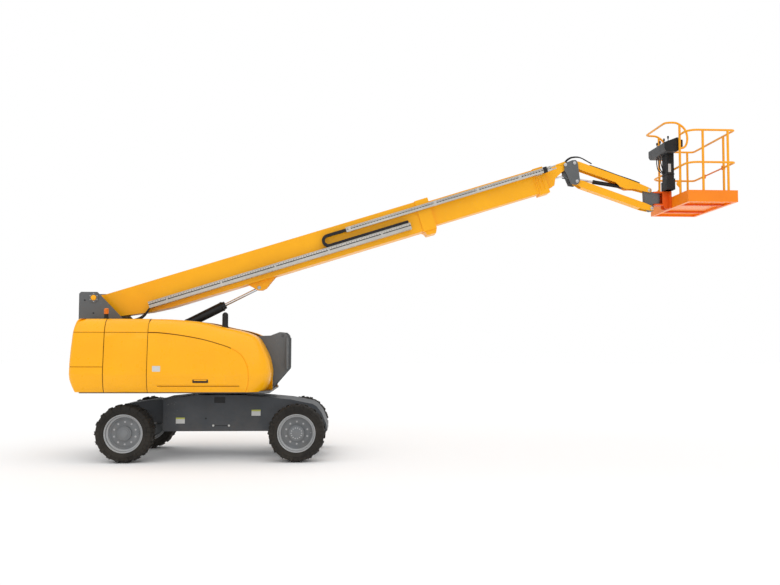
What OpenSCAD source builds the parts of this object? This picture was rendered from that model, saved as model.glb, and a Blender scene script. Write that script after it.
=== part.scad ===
// Telescopic boom lift on four wheels, parked as in the photo.
// Lengths are millimetres. +Z is up, +X is the way the boom points, +Y is the far side.
// Stations along X are counted from the steered axle and moved to the row frame by from_axle().

/* [Running gear] */
// Distance between the axles
wheelbase = 3160; // [2900:10:3400]
// Width over the tyres
track_over_tyres = 2490; // [2400:10:2600]
// Tyre outside diameter, out to the lug tips
tyre_diameter = 1070; // [1020:5:1110]
// Tyre width
tyre_width = 430; // [380:5:450]
// Rim diameter at the tyre bead
rim_diameter = 674; // [620:2:700]
// Depth of a tyre lug
lug_depth = 22; // [12:1:30]
// Lugs on each side of a tyre
lug_count = 18; // [14:2:22]

/* [Chassis] */
// Width of the chassis box
chassis_width = 960; // [900:10:970]
// Plate thickness of the chassis box
chassis_plate = 12; // [8:1:20]
// Slew ring diameter
slew_diameter = 915; // [860:5:960]

/* [Turntable] */
// Width over the covers
cover_width = 2400; // [2300:10:2460]
// Wall thickness of the covers
cover_wall = 6; // [4:1:10]
// Top of the covers
cover_top = 2650; // [2600:5:2700]
// Thickness of the tower plates
tower_plate = 34; // [25:1:40]
// Bore of the lifting eyes
lifting_eye_bore = 64; // [50:1:70]

/* [Boom] */
// Angle of the parked boom above level
boom_angle = 17.4; // [16:0.1:18.5]
// Width of the base section
base_width = 420; // [400:2:430]
// Width of the middle section
mid_width = 330; // [310:2:350]
// Width of the fly section
fly_width = 250; // [230:2:262]
// Plate thickness of the boom sections
boom_plate = 9; // [7:1:12]
// Length of the base section from the pivot
base_length = 6820; // [6700:10:6900]
// Reach of the middle section's mouth from the pivot
mid_reach = 9260; // [9200:10:9280]

/* [Jib] */
// Distance between the jib arm's pins
jib_length = 1650; // [1600:5:1700]
// Slope of the parked jib below level
jib_slope = 18.9; // [15:0.1:23]
// Depth of the jib arm and of the jib link
jib_depth = 190; // [160:2:196]

/* [Platform] */
// Platform length across the machine
platform_length = 2020; // [1900:10:2080]
// Platform width along the machine
platform_width = 990; // [940:5:1010]
// Height of the toe boards above the floor
toe_height = 170; // [150:5:200]
// Height of the middle rail above the floor
mid_rail_height = 727; // [700:1:760]
// Height of the top rail above the floor
rail_height = 1365; // [1310:5:1410]
// Rail tube diameter
rail_tube = 38; // [32:1:44]

/* [Hidden] */
$fn = 40;
origin_x = 5300;
joint_swell = 0.4;
tyre_r = tyre_diameter / 2;
rim_r = rim_diameter / 2;
tyre_y = (track_over_tyres - tyre_width) / 2;
axle_z = tyre_r;
slew_x = 1637;
kingpin_y = 800;
boom_pivot = [-820, 3067];
cover_half = cover_width / 2;
plate_y = 386;
deck_top = 1300;
deck_plate = 40;
seat = 0.3;
running_gap = 1;
cover_base = deck_top + seat;

// Colours
amber = [1.0, 0.70, 0.02];
orange = [1.0, 0.55, 0.02];
red_orange = [0.88, 0.27, 0.04];
slate = [0.25, 0.27, 0.29];
mid_grey = [0.36, 0.37, 0.37];
light_grey = [0.62, 0.63, 0.63];
black = [0.06, 0.06, 0.06];
tyre_black = [0.10, 0.09, 0.08];
steel = [0.75, 0.76, 0.78];
cream = [0.78, 0.76, 0.70];

// Shared building pieces
module from_axle() {
    translate([-origin_x, 0, 0]) children();
}
module in_boom() {
    translate([boom_pivot[0], 0, boom_pivot[1]]) rotate([0, -boom_angle, 0]) children();
}
// A side outline, x and z, drawn from y0 to y1
module slab(points, y0, y1) {
    translate([0, y1, 0]) rotate([90, 0, 0]) linear_extrude(y1 - y0) polygon(points);
}
// A cross section, y and z, drawn from x0 to x1
module bar_x(points, x0, x1) {
    translate([x0, 0, 0]) rotate([90, 0, 90]) linear_extrude(x1 - x0) polygon(points);
}
module box(x0, x1, y0, y1, z0, z1) {
    translate([x0, y0, z0]) cube([x1 - x0, y1 - y0, z1 - z0]);
}
module both_sides() {
    children();
    mirror([0, 1, 0]) children();
}
module pin_y(x, z, r, y0, y1) {
    translate([x, y0, z]) rotate([-90, 0, 0]) cylinder(h = y1 - y0, r = r);
}
module rod(p, q, r) {
    d = q - p;
    l = norm(d);
    translate(p) rotate([0, acos(d[2] / l), atan2(d[1], d[0])]) cylinder(h = l, r = r);
}
// A bent tube through a list of points
module tube_path(points, r) {
    for (i = [0 : len(points) - 2]) rod(points[i], points[i + 1], r);
    for (i = [1 : len(points) - 2]) translate(points[i]) sphere(r = r + joint_swell);
}
// A link with round ends, drawn from y0 to y1
module link(p, q, r0, r1, y0, y1) {
    d = q - p;
    l = norm(d);
    a = atan2(d[1], d[0]);
    b = asin((r0 - r1) / l);
    n0 = [cos(a + 90 - b), sin(a + 90 - b)];
    n1 = [cos(a - 90 + b), sin(a - 90 + b)];
    slab([p + r0 * n0, q + r1 * n0, q + r1 * n1, p + r0 * n1], y0, y1);
    pin_y(p[0], p[1], r0, y0, y1);
    pin_y(q[0], q[1], r1, y0, y1);
}

// Wheels
tyre_profile = [
    // radius, half width
    [rim_r - 12, tyre_width / 2 - 62],
    [rim_r + 22, tyre_width / 2 - 30],
    [rim_r + 75, tyre_width / 2 - 6],
    [rim_r + 120, tyre_width / 2 - 3],
    [tyre_r - 45, tyre_width / 2],
    [tyre_r - 12, tyre_width / 2 - 8],
    [tyre_r, tyre_width / 2 - 45]
];
tread_r = tyre_r - lug_depth;
carcass_profile = [
    // radius, half width
    [rim_r - 12, tyre_width / 2 - 62],
    [rim_r + 22, tyre_width / 2 - 30],
    [rim_r + 75, tyre_width / 2 - 6],
    [tyre_r - 75, tyre_width / 2 - 5],
    [tread_r - 18, tyre_width / 2 - 26],
    [tread_r, tyre_width / 2 - 62]
];
lug_plan = [
    // along the tread, across the tread
    [-26, 8], [30, 8], [46, tyre_width / 2 - 70], [38, tyre_width / 2 + 1],
    [-26, tyre_width / 2 + 1], [-12, tyre_width / 2 - 70]
];
module turned(profile) {
    n = len(profile);
    rotate_extrude() polygon(concat(
        profile, [for (i = [0 : n - 1]) [profile[n - 1 - i][0], -profile[n - 1 - i][1]]]
    ));
}
module tyre(x, y) {
    pitch = 360 / lug_count;
    color(tyre_black) translate([x, y, axle_z]) rotate([90, 0, 0]) {
        turned(carcass_profile);
        intersection() {
            turned(tyre_profile);
            // A row of lugs each side of the middle, half a pitch apart
            for (side = [0, 1], i = [0 : lug_count - 1])
                rotate([0, 0, 90 + (i + side / 2) * pitch]) mirror([0, 0, side])
                    translate([tyre_r - 70, 0, 0]) rotate([90, 0, 90]) linear_extrude(90) polygon(lug_plan);
        }
    }
}
rim_bead = rim_r - 12 - seat;
rim_barrel = rim_r - 44;
rim_flange = rim_r + 14;
rim_half = tyre_width / 2 - 58;
module rim(x, y, hub_r, hub_out) {
    s = sign(y);
    color(light_grey) translate([x, y, axle_z]) rotate([-90 * s, 0, 0]) {
        difference() {
            rotate_extrude() polygon([
                [rim_barrel - 10, -rim_half], [rim_bead, -rim_half], [rim_bead, rim_half + 8],
                [rim_flange, rim_half + 24], [rim_flange, rim_half + 42], [rim_bead - 8, rim_half + 42],
                [rim_barrel - 10, rim_half - 30], [rim_barrel - 10, 64], [hub_r + 10, 44],
                [hub_r - 6, 44], [hub_r - 6, 24], [hub_r + 14, 24],
                [rim_barrel - 30, 40], [rim_barrel - 24, -rim_half]
            ]);
        }
        translate([0, 0, 20]) cylinder(h = hub_out, r = hub_r);
        translate([0, 0, 20 + hub_out]) cylinder(h = 16, r = hub_r - 28);
    }
}

// Steered axle and its knuckles
pivot_z = axle_z + 215;
module steer_axle() from_axle() color(slate) {
    box(-90, 90, -700, 700, axle_z - 90, axle_z + 90);
    both_sides() {
        for (z = [axle_z + 100, axle_z - 150]) difference() {
            box(-60, 60, 690, 860, z, z + 50);
            translate([0, kingpin_y, z - 1]) cylinder(h = 52, r = 24 + running_gap / 2);
        }
        box(-60, 60, 660, 705, axle_z - 150, axle_z + 150);
    }
    // Centre pivot the axle rocks on
    box(-90, 90, -90, 90, axle_z + 80, pivot_z + 50);
    translate([-190, 0, pivot_z]) rotate([0, 90, 0]) cylinder(h = 380, r = 35);
}
steer_arm = 235;
module knuckle(s) from_axle() color(slate) {
    mirror([0, s < 0 ? 1 : 0, 0]) {
        translate([0, kingpin_y, axle_z - 92]) cylinder(h = 184, r = 52);
        translate([0, kingpin_y, axle_z - 170]) cylinder(h = 340, r = 24);
        pin_y(0, axle_z, 70, kingpin_y, tyre_y + 20 - seat);
        box(0, steer_arm, kingpin_y - 22, kingpin_y + 22, axle_z - 24, axle_z + 24);
        translate([steer_arm, kingpin_y, axle_z - 30]) cylinder(h = 110, r = 16);
        translate([steer_arm, kingpin_y, axle_z - 24]) cylinder(h = 48, r = 30);
    }
}
module tie_rod() from_axle() color(steel) {
    difference() {
        union() {
            rod([steer_arm, -kingpin_y + 50, axle_z + 52], [steer_arm, kingpin_y - 50, axle_z + 52], 17);
            both_sides() translate([steer_arm, kingpin_y, axle_z + 37]) cylinder(h = 30, r = 30);
            both_sides() box(steer_arm - 14, steer_arm + 14, kingpin_y - 60, kingpin_y - 20, axle_z + 38, axle_z + 66);
        }
        both_sides() translate([steer_arm, kingpin_y, axle_z + 36]) cylinder(h = 40, r = 16 + running_gap / 2);
    }
}
module drive_axle() from_axle() color(slate) {
    box(wheelbase - 110, wheelbase + 110, -640, 640, axle_z - 110, axle_z + 110);
    both_sides() pin_y(wheelbase, axle_z, 120, 620, tyre_y + 20 - seat);
    translate([wheelbase, 0, axle_z]) sphere(r = 170);
}

// Chassis box with a narrow nose over the steered axle
chassis_side = [
    [560, 500], [3710, 500], [3690, 640], [3600, 850], [3500, 975], [3423, 1021],
    [3005, 1107], [2095, 1190], [1209, 1190], [560, 1125]
];
nose_side = [
    [-300, 690], [-260, 660], [580, 640], [580, 1100], [276, 1081], [-200, 1010], [-300, 960]
];
module chassis_frame() from_axle() color(slate) {
    w = chassis_width / 2;
    t = chassis_plate;
    difference() {
        slab(chassis_side, -w, w);
        difference() {
            slab([for (p = chassis_side) [2100 + (p[0] - 2100) * 0.985, 850 + (p[1] - 850) * 0.94]],
                -w + t, w - t);
            box(1150, 2120, -w, w, 500, 1200);
        }
        // Hole and slots seen in the side
        for (s = [-1, 1]) box(1530, 1740, s * w - 40, s * w + 40, 1040, 1152);
        for (x = [1519, 1820]) pin_y(x, 609, 26, -w - 1, w + 1);
        pin_y(1376, 744, 18, -w - 1, w + 1);
        box(wheelbase - 118, wheelbase + 118, -w - 1, w + 1, 499, axle_z + 110 + seat);
        translate([wheelbase, 0, axle_z]) sphere(r = 174);
    }
    difference() {
        slab(nose_side, -300, 300);
        box(-96, 96, -301, 301, 600, pivot_z + 60);
        box(-260, 540, -286, 286, pivot_z + 70, 990);
        translate([-200, 0, pivot_z]) rotate([0, 90, 0]) cylinder(h = 400, r = 35 + seat);
    }
    difference() {
        box(wheelbase - 118, wheelbase + 118, -w, w, axle_z + 110 + seat, axle_z + 130);
        translate([wheelbase, 0, axle_z]) sphere(r = 174);
    }
}
module slew_ring() from_axle() color(black) {
    translate([slew_x, 0, 1190 + seat]) cylinder(h = 47.4, r = slew_diameter / 2 - 20);
    translate([slew_x, 0, 1190 + seat]) cylinder(h = 26, r = slew_diameter / 2);
}

// Turntable
tower_side = [
    [-900, 1299], [-900, 2300], [-1100, 2600], [-1100, 3145], [-1065, 3180], [-760, 3180],
    [-702, 3123], [-291, 2696], [300, 2060], [560, 1800], [2130, 1800], [2305, 1980],
    [2305, 2334], [2593, 2344], [2770, 2412], [2860, 2405], [2915, 2350], [2931, 2280],
    [2937, 1679], [2610, 1299]
];
eye_at = [2825, 2335];
lift_base = [-525, 1846];
module turntable_frame() from_axle() color(mid_grey) {
    translate([slew_x, 0, 1238]) cylinder(h = 50, r = slew_diameter / 2 - 30);
    difference() {
        union() {
            both_sides() difference() {
                slab(tower_side, plate_y, plate_y + tower_plate);
                pin_y(eye_at[0], eye_at[1], lifting_eye_bore / 2, plate_y - 1, plate_y + tower_plate + 1);
            }
            both_sides() box(2905, 2937, plate_y, plate_y + 110, 1700, 2300);
            both_sides() pin_y(boom_pivot[0], boom_pivot[1], 95, plate_y, plate_y + tower_plate + 12);
            pin_y(boom_pivot[0], boom_pivot[1], 45, -plate_y - 60, plate_y + 60);
            box(-880, 2640, -1000, 1000, deck_top - deck_plate, deck_top);
            // Cylinder foot between the plates
            both_sides() slab([[-680, 1299], [-640, 1850], [-590, 1930], [-470, 1930], [-300, 1299]], 118, 140);
            pin_y(lift_base[0], lift_base[1], 42, -140, 140);
            box(-220, -180, -plate_y - 1, plate_y + 1, 1299, 1560);
            box(1000, 1040, -plate_y - 1, plate_y + 1, 1299, 1700);
            box(2560, 2600, -plate_y - 1, plate_y + 1, 1299, 1760);
        }
    }
}

// Covers: one side outline cut by one cross section and one plan
rear_side = [
    [-868, 1317], [-923, 1371], [-989, 1517], [-1000, 1608], [-1000, 1791], [-983, 2029],
    [-947, 2396], [-862, cover_top - 24], [-790, cover_top], [-405, cover_top], [-405, cover_base],
    [-830, cover_base]
];
side_section = [
    [440, cover_base], [cover_half - 60, cover_base], [cover_half - 20, 1400], [cover_half, 1627],
    [cover_half - 10, 1755], [cover_half - 40, 2100], [cover_half - 70, 2390],
    [cover_half - 120, 2560], [cover_half - 190, 2630], [cover_half - 280, cover_top], [440, cover_top]
];
rear_plan = [
    [-1010, 0], [-1010, cover_half - 330], [-985, cover_half - 200], [-900, cover_half - 80],
    [-760, cover_half - 10], [-650, cover_half + 1], [-400, cover_half + 1], [-400, 0]
];
module counterweight() from_axle() color(amber) {
    both_sides() intersection() {
        slab(rear_side, 440, cover_half + 1);
        bar_x(side_section, -1010, -404);
        linear_extrude(3000) polygon(rear_plan);
    }
    // Middle mass behind the tower plates
    box(-995, -912, -445, 445, cover_base, 2240);
    box(-995, -720, -plate_y + 12, plate_y - 12, cover_base, 2200);
}
// The covers have no floor: points on the base line drop below it
function open_base(z, t) = z < cover_base + 5 ? -50 : t;
module cover_shell(side, section, x0, x1, y0) {
    t = cover_wall;
    difference() {
        intersection() {
            slab(side, y0, cover_half + 1);
            bar_x(section, x0, x1);
        }
        intersection() {
            slab([for (p = side) [p[0] + (p[0] > (x0 + x1) / 2 ? -t : t), p[1] + (p[1] > 2000 ? -t : open_base(p[1], t))]],
                y0 - 1, cover_half + 1);
            translate([0, -t, -t]) bar_x([for (p = section) [p[0], p[1] + (p[1] > 2000 ? 0 : open_base(p[1], 2 * t))]],
                x0 - 1, x1 + 1);
        }
    }
}
panel_side = [[-395, cover_base], [395, cover_base], [395, cover_top], [-395, cover_top]];
hood_side = [
    [405, cover_base], [2560, cover_base], [2592, 1315], [2701, 1518], [2718, 1666], [2659, 1925],
    [2509, 2202], [2440, 2290], [2378, 2332], [2100, 2424], [1731, 2487], [1363, 2588],
    [995, 2624], [405, 2640]
];
module side_covers() from_axle() color(amber) both_sides() {
    cover_shell(panel_side, side_section, -395, 395, 440);
    // Fixed spine between the hood and the tower plate
    difference() {
        slab(hood_side, plate_y + tower_plate + seat, 572);
        slab([for (p = hood_side) [p[0] - cover_wall, p[1] - (p[1] > 1900 ? cover_wall : -cover_wall)]],
            plate_y + tower_plate + cover_wall, 572 - cover_wall);
        slab([[400, 1290], [400, 2200], [2800, 2200], [2800, 1290]], 400, 572 - cover_wall);
    }
    for (x = hood_hinge_x) {
        for (d = [0, 75]) {
            translate([x + d, hinge_y, hinge_z]) rotate([0, 90, 0]) cylinder(h = 25, r = 13);
            box(x + d, x + d + 25, hinge_y - 12, hinge_y - 7, hinge_z - 70, hinge_z);
        }
        translate([x, hinge_y, hinge_z]) rotate([0, 90, 0]) cylinder(h = 100, r = 7);
    }
}
hood_hinge_x = [520, 1180];
hinge_y = 577;
hinge_z = 2660;
module hood() {
    cover_shell(hood_side, side_section, 405, 2720, 580);
    for (x = hood_hinge_x) difference() {
        union() {
            translate([x + 28, hinge_y, hinge_z]) rotate([0, 90, 0]) cylinder(h = 44, r = 13);
            box(x + 28, x + 72, hinge_y + 4, hinge_y + 12, hinge_z - 70, hinge_z + 6);
        }
        translate([x + 27, hinge_y, hinge_z]) rotate([0, 90, 0]) cylinder(h = 46, r = 7 + running_gap);
    }
}
module hood_left() from_axle() color(amber) hood();
module hood_right() from_axle() color(amber) mirror([0, 1, 0]) hood();
module engine_block() from_axle() color(black) box(650, 1900, 600, 1060, deck_top + seat, 2080);
module beacon() from_axle() {
    color(black) translate([-465, -800, cover_top + seat]) cylinder(h = 90, r = 45);
    color([1, 0.45, 0]) translate([-465, -800, cover_top + 90]) cylinder(h = 110, r = 42);
}
module exhaust_stack() from_axle() color(black) difference() {
    union() {
        translate([1722, -490, 2460]) cylinder(h = 246, r = 52);
        translate([1722, -490, 2706]) sphere(r = 52);
    }
    // Foot cut to the slope of the cover below it
    translate([0, 0, seat]) slab(hood_side, -700, -300);
}

// Lift cylinder
lift_eye = [3072, -720];
lift_pin = boom_pivot + [
    lift_eye[0] * cos(boom_angle) - lift_eye[1] * sin(boom_angle),
    lift_eye[0] * sin(boom_angle) + lift_eye[1] * cos(boom_angle)
];
lift_dir = (lift_pin - lift_base) / norm(lift_pin - lift_base);
lift_barrel_end = lift_base + lift_dir * 2440;
lift_gland = 80;
lift_barrel_r = 93;
lift_gland_r = 75;
lift_rod_r = 30;
function at(p, y) = [p[0], y, p[1]];
module lift_cylinder() from_axle() color(black) difference() {
    union() {
        rod(at(lift_base + lift_dir * 60, 0), at(lift_barrel_end - lift_dir * lift_gland, 0), lift_barrel_r);
        rod(at(lift_base + lift_dir * 60, 0), at(lift_barrel_end, 0), lift_gland_r);
        pin_y(lift_base[0], lift_base[1], lift_barrel_r, -110, 110);
    }
    rod(at(lift_base + lift_dir * 200, 0), at(lift_barrel_end + lift_dir, 0), lift_rod_r + 1);
    pin_y(lift_base[0], lift_base[1], 43, -111, 111);
}
module lift_rod() from_axle() color(steel) difference() {
    union() {
        rod(at(lift_pin - lift_dir * 2550, 0), at(lift_pin - lift_dir * 20, 0), lift_rod_r);
        pin_y(lift_pin[0], lift_pin[1], lift_rod_r + 3, -50, 50);
    }
    pin_y(lift_pin[0], lift_pin[1], 24, -51, 51);
}

// Boom sections, u along the boom and v square to it
base_side = [
    [-150, -110], [-100, -190], [300, -450], [360, -476], [900, -566], [1300, -598], [base_length, -606],
    [base_length, 10], [-60, 22], [-150, -30]
];
base_bore = [[250, -380], [900, -540], [1300, -588], [base_length - 120, -596], [base_length - 120, 0], [250, 8]];
mid_v = [-552, -50];
fly_v = [-500, -100];
module boom_base() from_axle() in_boom() color(amber) {
    w = base_width / 2;
    difference() {
        slab(base_side, -w, w);
        slab(base_bore, -w + boom_plate, w - boom_plate);
        pin_y(0, 0, 46, -w - 1, w + 1);
        box(2700, 3480, -60, 60, -620, -580);
        // Wear pads round the middle section at the mouth
        box(base_length - 130, base_length + 1, -mid_width / 2 - running_gap, mid_width / 2 + running_gap,
            mid_v[0] - running_gap, mid_v[1] + running_gap);
    }
    both_sides() difference() {
        pin_y(0, 0, 90, w - 1, plate_y - 6);
        pin_y(0, 0, 46, w - 2, plate_y);
    }
    // Front collar
    difference() {
        box(base_length - 277, base_length, -w - 22, w + 22, -622, 24);
        box(base_length - 278, base_length + 1, -w + 1, w - 1, -600, 4);
    }
    slab([
        [base_length - 260, -620], [base_length - 220, -705], [base_length - 40, -709], [base_length, -620]
    ], -w, w);
    // Lugs for the lift rod
    both_sides() difference() {
        slab([[2860, -590], [2976, -702], [3022, -757], [3116, -787], [3200, -770], [3465, -591]], 62, 92);
        pin_y(lift_eye[0], lift_eye[1], 24, 61, 93);
    }
}
tray_box = [950, 6320, -360, -210.3, -505, -375.3];
module hose_tray() from_axle() in_boom() color(cream) {
    difference() {
        box(tray_box[0], tray_box[1], tray_box[2], tray_box[3], tray_box[4], tray_box[5]);
        box(tray_box[0] - 1, tray_box[1] + 1, tray_box[2] + 6, tray_box[3] - 6, tray_box[4] + 6, tray_box[5] + 1);
    }
    box(4600, tray_box[1], tray_box[2] + 5, tray_box[3] - 5, tray_box[5] - 6, tray_box[5]);
}
chain_y = [-322, -262];
chain_mid = -244.5;
chain_r = [130.5, 70.5];
module cable_carrier() from_axle() in_boom() color(black) {
    box(4665, 6300, chain_y[0], chain_y[1], chain_mid - chain_r[0], chain_mid - chain_r[1]);
    difference() {
        pin_y(4665, chain_mid, chain_r[0], chain_y[0], chain_y[1]);
        pin_y(4665, chain_mid, chain_r[1], chain_y[0] - 1, chain_y[1] + 1);
        box(4665, 4900, chain_y[0] - 1, chain_y[1] + 1, -400, 0);
    }
    box(4665, mid_reach - 700, chain_y[0], chain_y[1], chain_mid + chain_r[1], chain_mid + chain_r[0]);
}
module root_hoses() from_axle() in_boom() color(black) {
    for (i = [0 : 2]) tube_path([
        [110, -240 - i * 34, -120], [300, -240 - i * 34, -300], [700, -240 - i * 34, -430],
        [1100, -240 - i * 34, -484.7]
    ], 14);
}
module boom_mid() from_axle() in_boom() color(amber) {
    w = mid_width / 2;
    difference() {
        box(1350, mid_reach, -w, w, mid_v[0], mid_v[1]);
        box(1349, mid_reach - 110, -w + 8, w - 8, mid_v[0] + 8, mid_v[1] - 8);
        box(mid_reach - 120, mid_reach + 1, -fly_width / 2 - running_gap, fly_width / 2 + running_gap,
            fly_v[0] - running_gap, fly_v[1] + running_gap);
    }
    // Wear pads at the back, inside the base section
    difference() {
        box(1350, 1430, -base_width / 2 + 10, base_width / 2 - 10, -586, -4);
        box(1349, 1431, -w + 1, w - 1, mid_v[0] + 1, mid_v[1] - 1);
    }
    difference() {
        box(mid_reach - 210, mid_reach, -w - 14, w + 14, -592, -36);
        box(mid_reach - 211, mid_reach + 1, -w + 1, w - 1, mid_v[0] + 1, mid_v[1] - 1);
    }
}
tube_box = [5060, mid_reach + 130, -332, -252, -192, -96];
module push_tube() from_axle() in_boom() color(cream) {
    difference() {
        box(tube_box[0], tube_box[1], tube_box[2], tube_box[3], tube_box[4], tube_box[5]);
        box(tube_box[0] - 1, tube_box[1] + 1, tube_box[2] + 5, tube_box[3] - 5, tube_box[4] + 5, tube_box[5] - 5);
    }
    box(mid_reach - 180, mid_reach - 60, -253, -mid_width / 2 - 14 - seat, -200, -90);
}
// Front of the fly section's box, which the nose and the levelling cylinder are placed from
fly_front = mid_reach + 30;
nose_pin = [fly_front + 455, -141];
fly_nose = [for (p = [
    [-90, -500], [10, -500], [117, -477], [181, -346], [350, -262], [455, -221],
    [510, -200], [535, -141], [510, -85], [455, -66], [158, -81], [10, -100], [-90, -100]
]) [fly_front + p[0], p[1]]];
module boom_fly() from_axle() in_boom() color(amber) {
    w = fly_width / 2;
    difference() {
        box(4000, fly_front, -w, w, fly_v[0], fly_v[1]);
        box(3999, fly_front + 1, -w + 7, w - 7, fly_v[0] + 7, fly_v[1] - 7);
    }
    difference() {
        box(4000, 4080, -mid_width / 2 + 9, mid_width / 2 - 9, mid_v[0] + 9, mid_v[1] - 9);
        box(3999, 4081, -w + 1, w - 1, fly_v[0] + 1, fly_v[1] - 1);
    }
    pin_y(level_base[0], level_base[1], 20, -w + 1, w - 1);
    both_sides() difference() {
        slab(fly_nose, 78, 98);
        pin_y(nose_pin[0], nose_pin[1], 28, 77, 99);
    }
    both_sides() box(fly_front - 90, fly_front, 90, w, -500, -100);
}
level_base = [fly_front - 540, -300];
level_lug = [fly_front + 396, -341];
level_dir = (level_lug - level_base) / norm(level_lug - level_base);
module level_cylinder() from_axle() in_boom() color(black) difference() {
    union() {
        rod(at(level_base, 0), at(level_base + level_dir * 640, 0), 45);
        pin_y(level_base[0], level_base[1], 45, -50, 50);
    }
    rod(at(level_base + level_dir * 90, 0), at(level_base + level_dir * 641, 0), 22);
    pin_y(level_base[0], level_base[1], 21, -51, 51);
}
module level_rod() from_axle() in_boom() color(steel) {
    rod(at(level_base + level_dir * 350, 0), at(level_lug, 0), 21);
    pin_y(level_lug[0], level_lug[1], 32, -25, 25);
}

// Jib
// Where the jib's bracket hangs on the fly section, seen from the side
nose_at = [
    boom_pivot[0] + nose_pin[0] * cos(boom_angle) - nose_pin[1] * sin(boom_angle),
    boom_pivot[1] + nose_pin[0] * sin(boom_angle) + nose_pin[1] * cos(boom_angle)
];
jib_a = nose_at + [188.8, 38.4];
jib_b = nose_at + [238.8, -336.6];
jib_step = jib_length * [cos(jib_slope), -sin(jib_slope)];
jib_c = jib_a + jib_step;
jib_d = jib_b + jib_step;
jib_u = jib_step / jib_length;
jib_n = [-jib_u[1], jib_u[0]];
function on_jib(p, u, v) = p + jib_u * u + jib_n * v;
bracket_side = [
    // from the bracket's pin on the boom
    [-11, 3], [19, 48], [141, 98], [219, 103], [254, 53], [269, -60], [299, -307], [279, -377],
    [219, -407], [116, -392], [54, -247], [-21, -107]
];
bracket_inner = [
    // from the bracket's pin on the boom
    [-31, -187], [-21, -247], [39, -257], [219, -367], [279, -347], [314, -277], [299, -227],
    [239, -67], [224, 53], [159, 63], [39, 23], [19, -37]
];
module jib_bracket() from_axle() color(mid_grey) {
    both_sides() translate(at(nose_at, 0)) slab(bracket_side, 116, 136);
    both_sides() translate(at(nose_at, 0)) slab(bracket_inner, 50, 72);
    pin_y(jc_base[0], jc_base[1], 22, -60, 60);
    pin_y(nose_at[0], nose_at[1], 27, -140, 140);
    pin_y(jib_a[0], jib_a[1], 26, -140, 140);
    pin_y(jib_b[0], jib_b[1], 26, -140, 140);
}
module jib_arm() from_axle() color(amber) {
    h = jib_depth / 2;
    both_sides() difference() {
        union() {
            link(jib_a, jib_c, 55, 60, 78, 100);
            slab([
                on_jib(jib_a, 140, -h), on_jib(jib_a, 90, 20), on_jib(jib_a, 140, h),
                on_jib(jib_a, 1350, h), on_jib(jib_a, jib_length, 58),
                on_jib(jib_a, jib_length, -58), on_jib(jib_a, 1350, -h)
            ], 78, 100);
        }
        pin_y(jib_a[0], jib_a[1], 27, 77, 101);
        pin_y(jib_c[0], jib_c[1], 27, 77, 101);
    }
    slab([
        on_jib(jib_a, 160, h - 10), on_jib(jib_a, 160, h), on_jib(jib_a, 1300, h), on_jib(jib_a, 1300, h - 10)
    ], -80, 80);
    slab([
        on_jib(jib_a, 1190, -h), on_jib(jib_a, 1190, 10 - h), on_jib(jib_a, 1280, 10 - h), on_jib(jib_a, 1280, -h)
    ], -80, 80);
    both_sides() slab([
        on_jib(jib_a, 940, -30), on_jib(jib_a, 1040, -128), on_jib(jib_a, 1220, -138), on_jib(jib_a, 1300, 0)
    ], 46, 79);
}
module jib_link() from_axle() color(amber) {
    h = jib_depth / 2;
    both_sides() difference() {
        union() {
            link(jib_b, jib_d, 52, 52, 81, 100);
            slab([
                on_jib(jib_b, 140, -h), on_jib(jib_b, 90, 0), on_jib(jib_b, 140, h - 12),
                on_jib(jib_b, 1350, h - 12), on_jib(jib_b, jib_length, 50),
                on_jib(jib_b, jib_length, -50), on_jib(jib_b, 1350, -h)
            ], 81, 100);
        }
        pin_y(jib_b[0], jib_b[1], 27, 80, 101);
        pin_y(jib_d[0], jib_d[1], 27, 80, 101);
    }
    slab([
        on_jib(jib_b, 200, -h), on_jib(jib_b, 200, 10 - h), on_jib(jib_b, 1300, 10 - h), on_jib(jib_b, 1300, -h)
    ], -83, 83);
}
jc_base = jib_a + [96, -313];
jc_pin = on_jib(jib_a, 1103.8, -99.8);
jc_dir = (jc_pin - jc_base) / norm(jc_pin - jc_base);
module jib_cylinder() from_axle() color(black) difference() {
    union() {
        rod(at(jc_base + jc_dir * 10, 0), at(jc_base + jc_dir * 740, 0), 44);
        pin_y(jc_base[0], jc_base[1], 44, -42, 42);
    }
    rod(at(jc_base + jc_dir * 90, 0), at(jc_base + jc_dir * 741, 0), 22);
    pin_y(jc_base[0], jc_base[1], 23, -46, 46);
}
module jib_rod() from_axle() color(steel) {
    rod(at(jc_pin - jc_dir * 670, 0), at(jc_pin, 0), 21);
    pin_y(jc_pin[0], jc_pin[1], 36, -38, 38);
}
head_side = [
    // from the jib link's front pin
    [-141, 354], [-86, 436], [-31, 429], [24, 319], [129, 319], [129, 95], [19, 95], [51, 25], [39, -51],
    [-31, -58], [-131, 64]
];
turn_r = 70;
rot_x = jib_d[0] + 129;
turn_z = [jib_d[1] + 95, jib_d[1] + 319];
module jib_head() from_axle() color(mid_grey) {
    translate(at(jib_d, 0)) slab(head_side, -70, 70);
    translate([rot_x, 0, turn_z[0]]) cylinder(h = turn_z[1] - turn_z[0], r = turn_r);
    for (p = [jib_c, jib_d]) pin_y(p[0], p[1], 26, -104, 104);
}

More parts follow.
